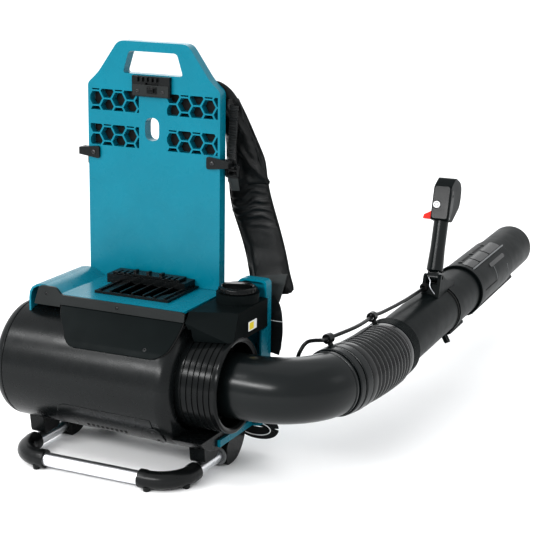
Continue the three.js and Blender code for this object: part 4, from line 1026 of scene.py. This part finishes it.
pipe_route = [past_far(0.5), past_far(14), past_far(60) + Vector((2, 0, -6)),
              clamp_end.lerp(far_eye, 0.4) + Vector((0, 0, -4)), clamp_end]
dress(cable("cable_by_pipe", pipe_route), "rubber", "pipe", "cable_pipe")
mid_span = past_near((far_eye - near_eye).length / 2)
bellows_route = [past_near(0.5), past_near(14), mid_span, past_far(-14), past_far(-0.5)]
dress(cable("cable_by_bellows", bellows_route), "rubber", "elbow", "cable_bellows",
      blend=("pipe", MACHINE @ past_near(10), MACHINE @ past_far(-10)))
elbow_route = [grommet_at + Vector((12.4, 0, 0)), grommet_at + Vector((36, -4, 5)), Vector((292, 2, 192)),
               Vector((304, -4, 226)), Vector((316, 6, 246)), past_near(-14), past_near(-0.5)]
dress(cable("cable_by_elbow", elbow_route), "rubber", "frame", "cable_elbow",
      blend=("elbow", MACHINE @ (grommet_at + X * 16), MACHINE @ past_near(-12)))
refined("cable_grommet", "rubber", width=0.8)
refined("cable_clip_near", "rubber", "elbow", width=1.0, segments=3)
refined("cable_clip_far", "rubber", "pipe", width=1.0, segments=3)


# ------------------------------------------------------------------ harness
def band_form(name, points, width, thick, steps=70, spread=1.7):
    """A flat padded band along a centre line, its wide side along X, with a lens-shaped section."""
    line = curve_points(points, steps // (len(points) - 1))
    verts = []
    ring_size = 32
    for k, point in enumerate(line):
        before, after = line[max(k - 1, 0)], line[min(k + 1, len(line) - 1)]
        heading = (after - before).normalized()
        wide = (X - heading * heading.x).normalized()
        face = wide.cross(heading).normalized()
        ending = min(k, len(line) - 1 - k) / 4
        fullness = 1 if ending >= 1 else 0.35 + 0.65 * math.sqrt(1 - (1 - ending) ** 2)
        for i in range(ring_size):
            angle = math.tau * i / ring_size
            reach = math.copysign(abs(math.cos(angle)) ** 0.6, math.cos(angle))
            rise = math.copysign(abs(math.sin(angle)) ** 0.8, math.sin(angle))
            taper = min(1, 0.38 + spread * k / (len(line) - 1))
            verts.append(point + wide * (width / 2 * reach * taper) + face * (thick / 2 * rise * fullness))
    faces = ring_faces(len(line), ring_size, closed=False) + end_faces(len(line), ring_size)
    return link(name, verts, faces), line


CLOTH_PRESSURE, CLOTH_FRAMES = 4.0, 20


def puffed(obj, voxel=5.0, cap=4.0):
    """Swells a padded piece with cloth physics; no point moves further than the cap in millimetres."""
    remesh = obj.modifiers.new("remesh", "REMESH")
    remesh.mode = "VOXEL"
    remesh.voxel_size = voxel * MM
    apply_modifiers(obj)
    homes = [v.co.copy() for v in obj.data.vertices]
    cloth = obj.modifiers.new("cloth", "CLOTH")
    cloth.settings.use_pressure = True
    cloth.settings.uniform_pressure_force = CLOTH_PRESSURE
    cloth.settings.effector_weights.gravity = 0
    for number in range(1, CLOTH_FRAMES + 1):
        bpy.context.scene.frame_set(number)
    apply_modifiers(obj)
    bpy.context.scene.frame_set(1)
    for vertex, home in zip(obj.data.vertices, homes):
        move = vertex.co - home
        if move.length > cap * MM:
            vertex.co = home + move * (cap * MM / move.length)
    smooth = obj.modifiers.new("smooth", "SUBSURF")
    smooth.levels = 1
    apply_modifiers(obj)
    return obj


def shaped(obj, push):
    """Moves every point along its normal by push(point), both in the drawing frame's millimetres."""
    back = MACHINE.inverted()
    moves = [(v.normal * push(back @ v.co) * MM) for v in obj.data.vertices]
    for vertex, move in zip(obj.data.vertices, moves):
        vertex.co += move
    obj.data.update()
    return obj


def wave(value, pitch):
    """A soft wave between 0 and 1."""
    return 0.5 + 0.5 * math.cos(math.tau * value / pitch)


def strap_detail(line, half):
    """A seam along each side of a strap, gathers round its middle and loose creases."""
    def push(point):
        nearest = min(line, key=lambda spot: (spot - point).length_squared)
        aside = (point - nearest).x
        edge = max(0.0, 1 - abs(abs(aside) - (half - 9)) / 2.2)
        wrinkle = wave(point.z + 6 * math.sin(point.x / 17) + 9 * noise.noise(point / 30), 15) ** 2
        band = max(0.0, 1 - abs(point.z - 474) / 50) ** 0.7
        crease = noise.noise(Vector((point.x / 55, point.y / 55, point.z / 22))) * 2.2
        return -1.6 * edge + band * 3.0 * (wrinkle - 0.4) + crease * 0.9
    return push


def edge_line(obj, line, sign, inset=1.0):
    """The run of outermost points along one side of a strap."""
    back = MACHINE.inverted()
    spots = [back @ v.co for v in obj.data.vertices]
    found = []
    for k in range(2, len(line) - 2, 3):
        heading = (line[k + 1] - line[k - 1]).normalized()
        near = [p for p in spots if abs((p - line[k]).dot(heading)) < 4 and (p - line[k]).length < 75]
        if near:
            best = max(near, key=lambda p: sign * p.x)
            found.append(best - X * sign * inset)
    smooth = [found[0]] + [(a + b * 2 + c) / 4 for a, b, c in zip(found, found[1:], found[2:])] + [found[-1]]
    return curve_points(smooth, 3)


WEBBING_THICK, RIB_PITCH = 1.8, 4.2


def flat_section(width, thick):
    return rounded_rectangle(-width / 2, width / 2, -thick / 2, thick / 2, thick * 0.45, 3)


def webbing(name, points, width):
    """A flat strap along a smooth line, its wide side across the line and square to Y."""
    strap = sweep(name, curve_points(points, 10), flat_section(width, WEBBING_THICK), up=Y)
    return dress(soften(strap, 0), "webbing", "frame")


STRAPS = {
    "right": {"line": [(126, 42, 684), (138, 54, 640), (148, 70, 585), (153, 78, 540), (160, 84, 478),
                       (187, 84, 400), (203, 76, 340), (212, 68, 302)],
              "width": 102, "flap_points": 4, "flap_end": (159, 77, 508), "open_side": 1},
    "left": {"line": [(-78, 42, 684), (-80, 54, 640), (-84, 72, 570), (-88, 84, 480), (-96, 84, 400),
                      (-104, 76, 340), (-108, 68, 306)],
             "width": 94, "flap_points": 3, "flap_end": (-88, 76, 512), "open_side": -1},
}
for side, size in STRAPS.items():
    strap, line = band_form(f"strap_{side}", size["line"], size["width"] - 8, 12)
    puffed(strap)
    shaped(strap, strap_detail(line, size["width"] / 2))
    dress(soften(strap, 0, shade=180), "nylon", "frame", f"shoulder_strap_{side}")
    for hand, sign in (("outer", 1), ("inner", -1)):
        trim = sweep(f"strap_piping_{side}_{hand}", edge_line(strap, line, sign), round_section(2.3, 10))
        dress(soften(trim, 0), "gloss", "frame")


PADS = {
    "back_pad": {"left": (-128, -24), "right": (24, 118), "y": (28, 42), "z": (372, 556),
                 "corner": 14, "border": 11, "channels": 46, "look": "mesh"},
    "waist_pad": {"left": (-156, -68), "right": (156, 244), "y": (45, 59), "z": (196, 284),
                  "corner": 12, "border": 10, "channels": 0, "look": "nylon"},
}
PAD_INSET = 3


def pad_seams(size, x0, x1):
    """The stitched border inside a pad's edge and, on the back pads, channels across it."""
    low, high = size["z"]

    def push(point):
        to_edge = min(point.x - x0, x1 - point.x, point.z - low, high - point.z)
        border = max(0.0, 1 - abs(to_edge - size["border"]) / 3)
        if not size["channels"]:
            return -2 * border
        channel = max(0.0, 1 - abs((point.z - low) % size["channels"] - size["channels"] / 2) / 3)
        return -2.2 * max(channel * (abs(point.x - (x0 + x1) / 2) < 40), border)
    return push


for pad, size in PADS.items():
    (y0, y1), (z0, z1) = size["y"], size["z"]
    for side in ("left", "right"):
        x0, x1 = size[side]
        outline = rounded_rectangle(x0 + PAD_INSET, x1 - PAD_INSET, z0 + PAD_INSET, z1 - PAD_INSET,
                                    size["corner"], 6)
        cover = puffed(slab(f"{pad}_{side}_cover", outline, y0, y1))
        shaped(cover, pad_seams(size, x0, x1))
        dress(soften(cover, 0, shade=180), size["look"], "frame", f"{pad}_{side}")


def flap_detail(point):
    """Folds that fan out from the webbing down over the padded flap."""
    fold = wave(0.75 * point.x + 0.6 * point.z + 10 * noise.noise(point / 38), 33) ** 1.6
    return 3.2 * (fold - 0.35) * min(1, max(0, (point.z - 512) / 20)) + 1.4 * noise.noise(point / 13)


for side, size in STRAPS.items():
    upper = [(x, y - 8, z) for x, y, z in size["line"][:size["flap_points"]]] + [size["flap_end"]]
    flap, line = band_form(f"strap_flap_{side}", upper, size["width"] - 12, 9, 60, spread=0.8)
    puffed(flap, 4, 3)
    shaped(flap, flap_detail)
    dress(soften(flap, 0, shade=180), "nylon", "frame")
    rim = edge_line(flap, line, size["open_side"], 0.5)
    dress(soften(sweep(f"flap_piping_{side}", rim, round_section(2.2, 10)), 0), "gloss", "frame")


def ribbed(name, points, width):
    """Webbing with raised ribs across it."""
    line = curve_points(points, 40)
    length = sum((b - a).length for a, b in zip(line, line[1:]))

    def section(t):
        rise = 1.0 + 1.1 * (math.sin(math.tau * t * length / RIB_PITCH) > 0)
        return rounded_rectangle(-width / 2, width / 2, -rise, rise, 0.9, 3)
    return dress(soften(sweep(name, line, section, up=Y), 0), "webbing", "frame")


def tapered(name, points, widths, thick):
    """A flat grey nylon tab that narrows from its first width to its second."""
    first, last = widths
    line = curve_points(points, 8)
    tab = sweep(name, line, lambda t: flat_section(first + (last - first) * t, thick), up=Y)
    return dress(soften(tab, 0), "greytip", "frame")


def ladder_lock(name, x, y, z):
    """A moulded buckle: two side bars and three cross bars."""
    half, height, bar = 12, 22, 2.2
    bars = []
    for middle in (x - half, x + half):
        outline = rounded_rectangle(middle - bar, middle + bar, z - height / 2, z + height / 2, 1.8)
        bars.append(slab("bar", outline, y - 3, y + 3))
    for lift, front, back in ((-0.5, -4, 2), (0.05, -1, 3), (0.5, -4, 2)):
        low = z + lift * height - 2
        outline = rounded_rectangle(x - half, x + half, low, low + 4, 1.5)
        bars.append(slab("bar", outline, y + front, y + back))
    dress(soften(merged(name, *bars), 0.8, 3), "gloss", "frame")


CORNER_WEBBING = {
    "right": [(108, 24, 700), (120, 26, 698), (134, 33, 686), (146, 40, 664), (150, 44, 640)],
    "left": [(-100, 24, 700), (-96, 28, 696), (-88, 34, 680), (-82, 40, 656)],
}
RIBBED_WEBBING = {
    "right": [(148, 31, 668), (146, 33, 628), (145, 30, 596), (149, 23, 572), (152, 18, 556)],
    "left": [(-84, 31, 662), (-96, 36, 620), (-118, 34, 588), (-134, 30, 566), (-146, 27, 552)],
}
LADDER_LOCKS = {"right": (152, 17.5, 549), "left": (-150, 27, 545)}
STRAP_TIPS = {
    "right": ([(204, 64, 346), (208, 60, 324), (212, 55, 304), (214, 50, 288)], (86, 34)),
    "left": ([(-103, 64, 346), (-106, 60, 324), (-108, 56, 306), (-110, 50, 288)], (78, 34)),
}
BELT_WEBBING = {
    "right": [(214, 52, 300), (226, 45, 290), (233, 38, 272), (234, 37, 240), (228, 37, 204)],
    "left": [(-110, 52, 300), (-112, 44, 290), (-112, 38, 272), (-112, 37, 240), (-112, 37, 204)],
}
for side, points in CORNER_WEBBING.items():
    webbing(f"corner_webbing_{side}", points, 24)
for side, points in RIBBED_WEBBING.items():
    ribbed(f"ribbed_webbing_{side}", points, 17)
for side, place in LADDER_LOCKS.items():
    ladder_lock(f"ladder_lock_{side}", *place)
tapered("lock_tab_right", [(152, 19, 540), (153, 24, 526), (154, 29, 510)], (20, 15), WEBBING_THICK)
for side, (points, widths) in STRAP_TIPS.items():
    tapered(f"strap_tip_{side}", points, widths, 3.2)
for side, points in BELT_WEBBING.items():
    webbing(f"belt_webbing_{side}", points, 32)
stitch = slab("belt_stitch", rounded_rectangle(217.5, 249.5, 266.6, 267.8, 0.5, 2), 36.2, 37.3)
dress(soften(stitch, 0), "white", "frame")
for side, x in (("right", 226), ("left", -138)):
    tail = [(x - 14, 40, 206), (x - 18, 40, 160), (x - 22, 40, 110), (x - 24, 40, 66)]
    webbing(f"hanging_webbing_{side}", tail, 24)
    centre = Vector((x - 27, 40, 51))
    angles = [math.tau * k / 48 for k in range(49)]
    hoop = [centre + Vector((33 * math.cos(a), 0, 13 * math.sin(a))) for a in angles]
    section = rounded_rectangle(-12, 12, -1, 1, 0.9, 3)
    loop = sweep(f"belt_loop_{side}", hoop, section, up=Y, closed_ends=False)
    dress(soften(loop, 0), "webbing", "frame")
    # A thin white line along the front rim of the belt loop: a painted highlight.
    rim = [point - Y * 12.4 for point in hoop]
    piping = sweep(f"loop_highlight_{side}", rim, round_section(1.1, 8), closed_ends=False)
    dress(soften(piping, 0), "white", "frame")
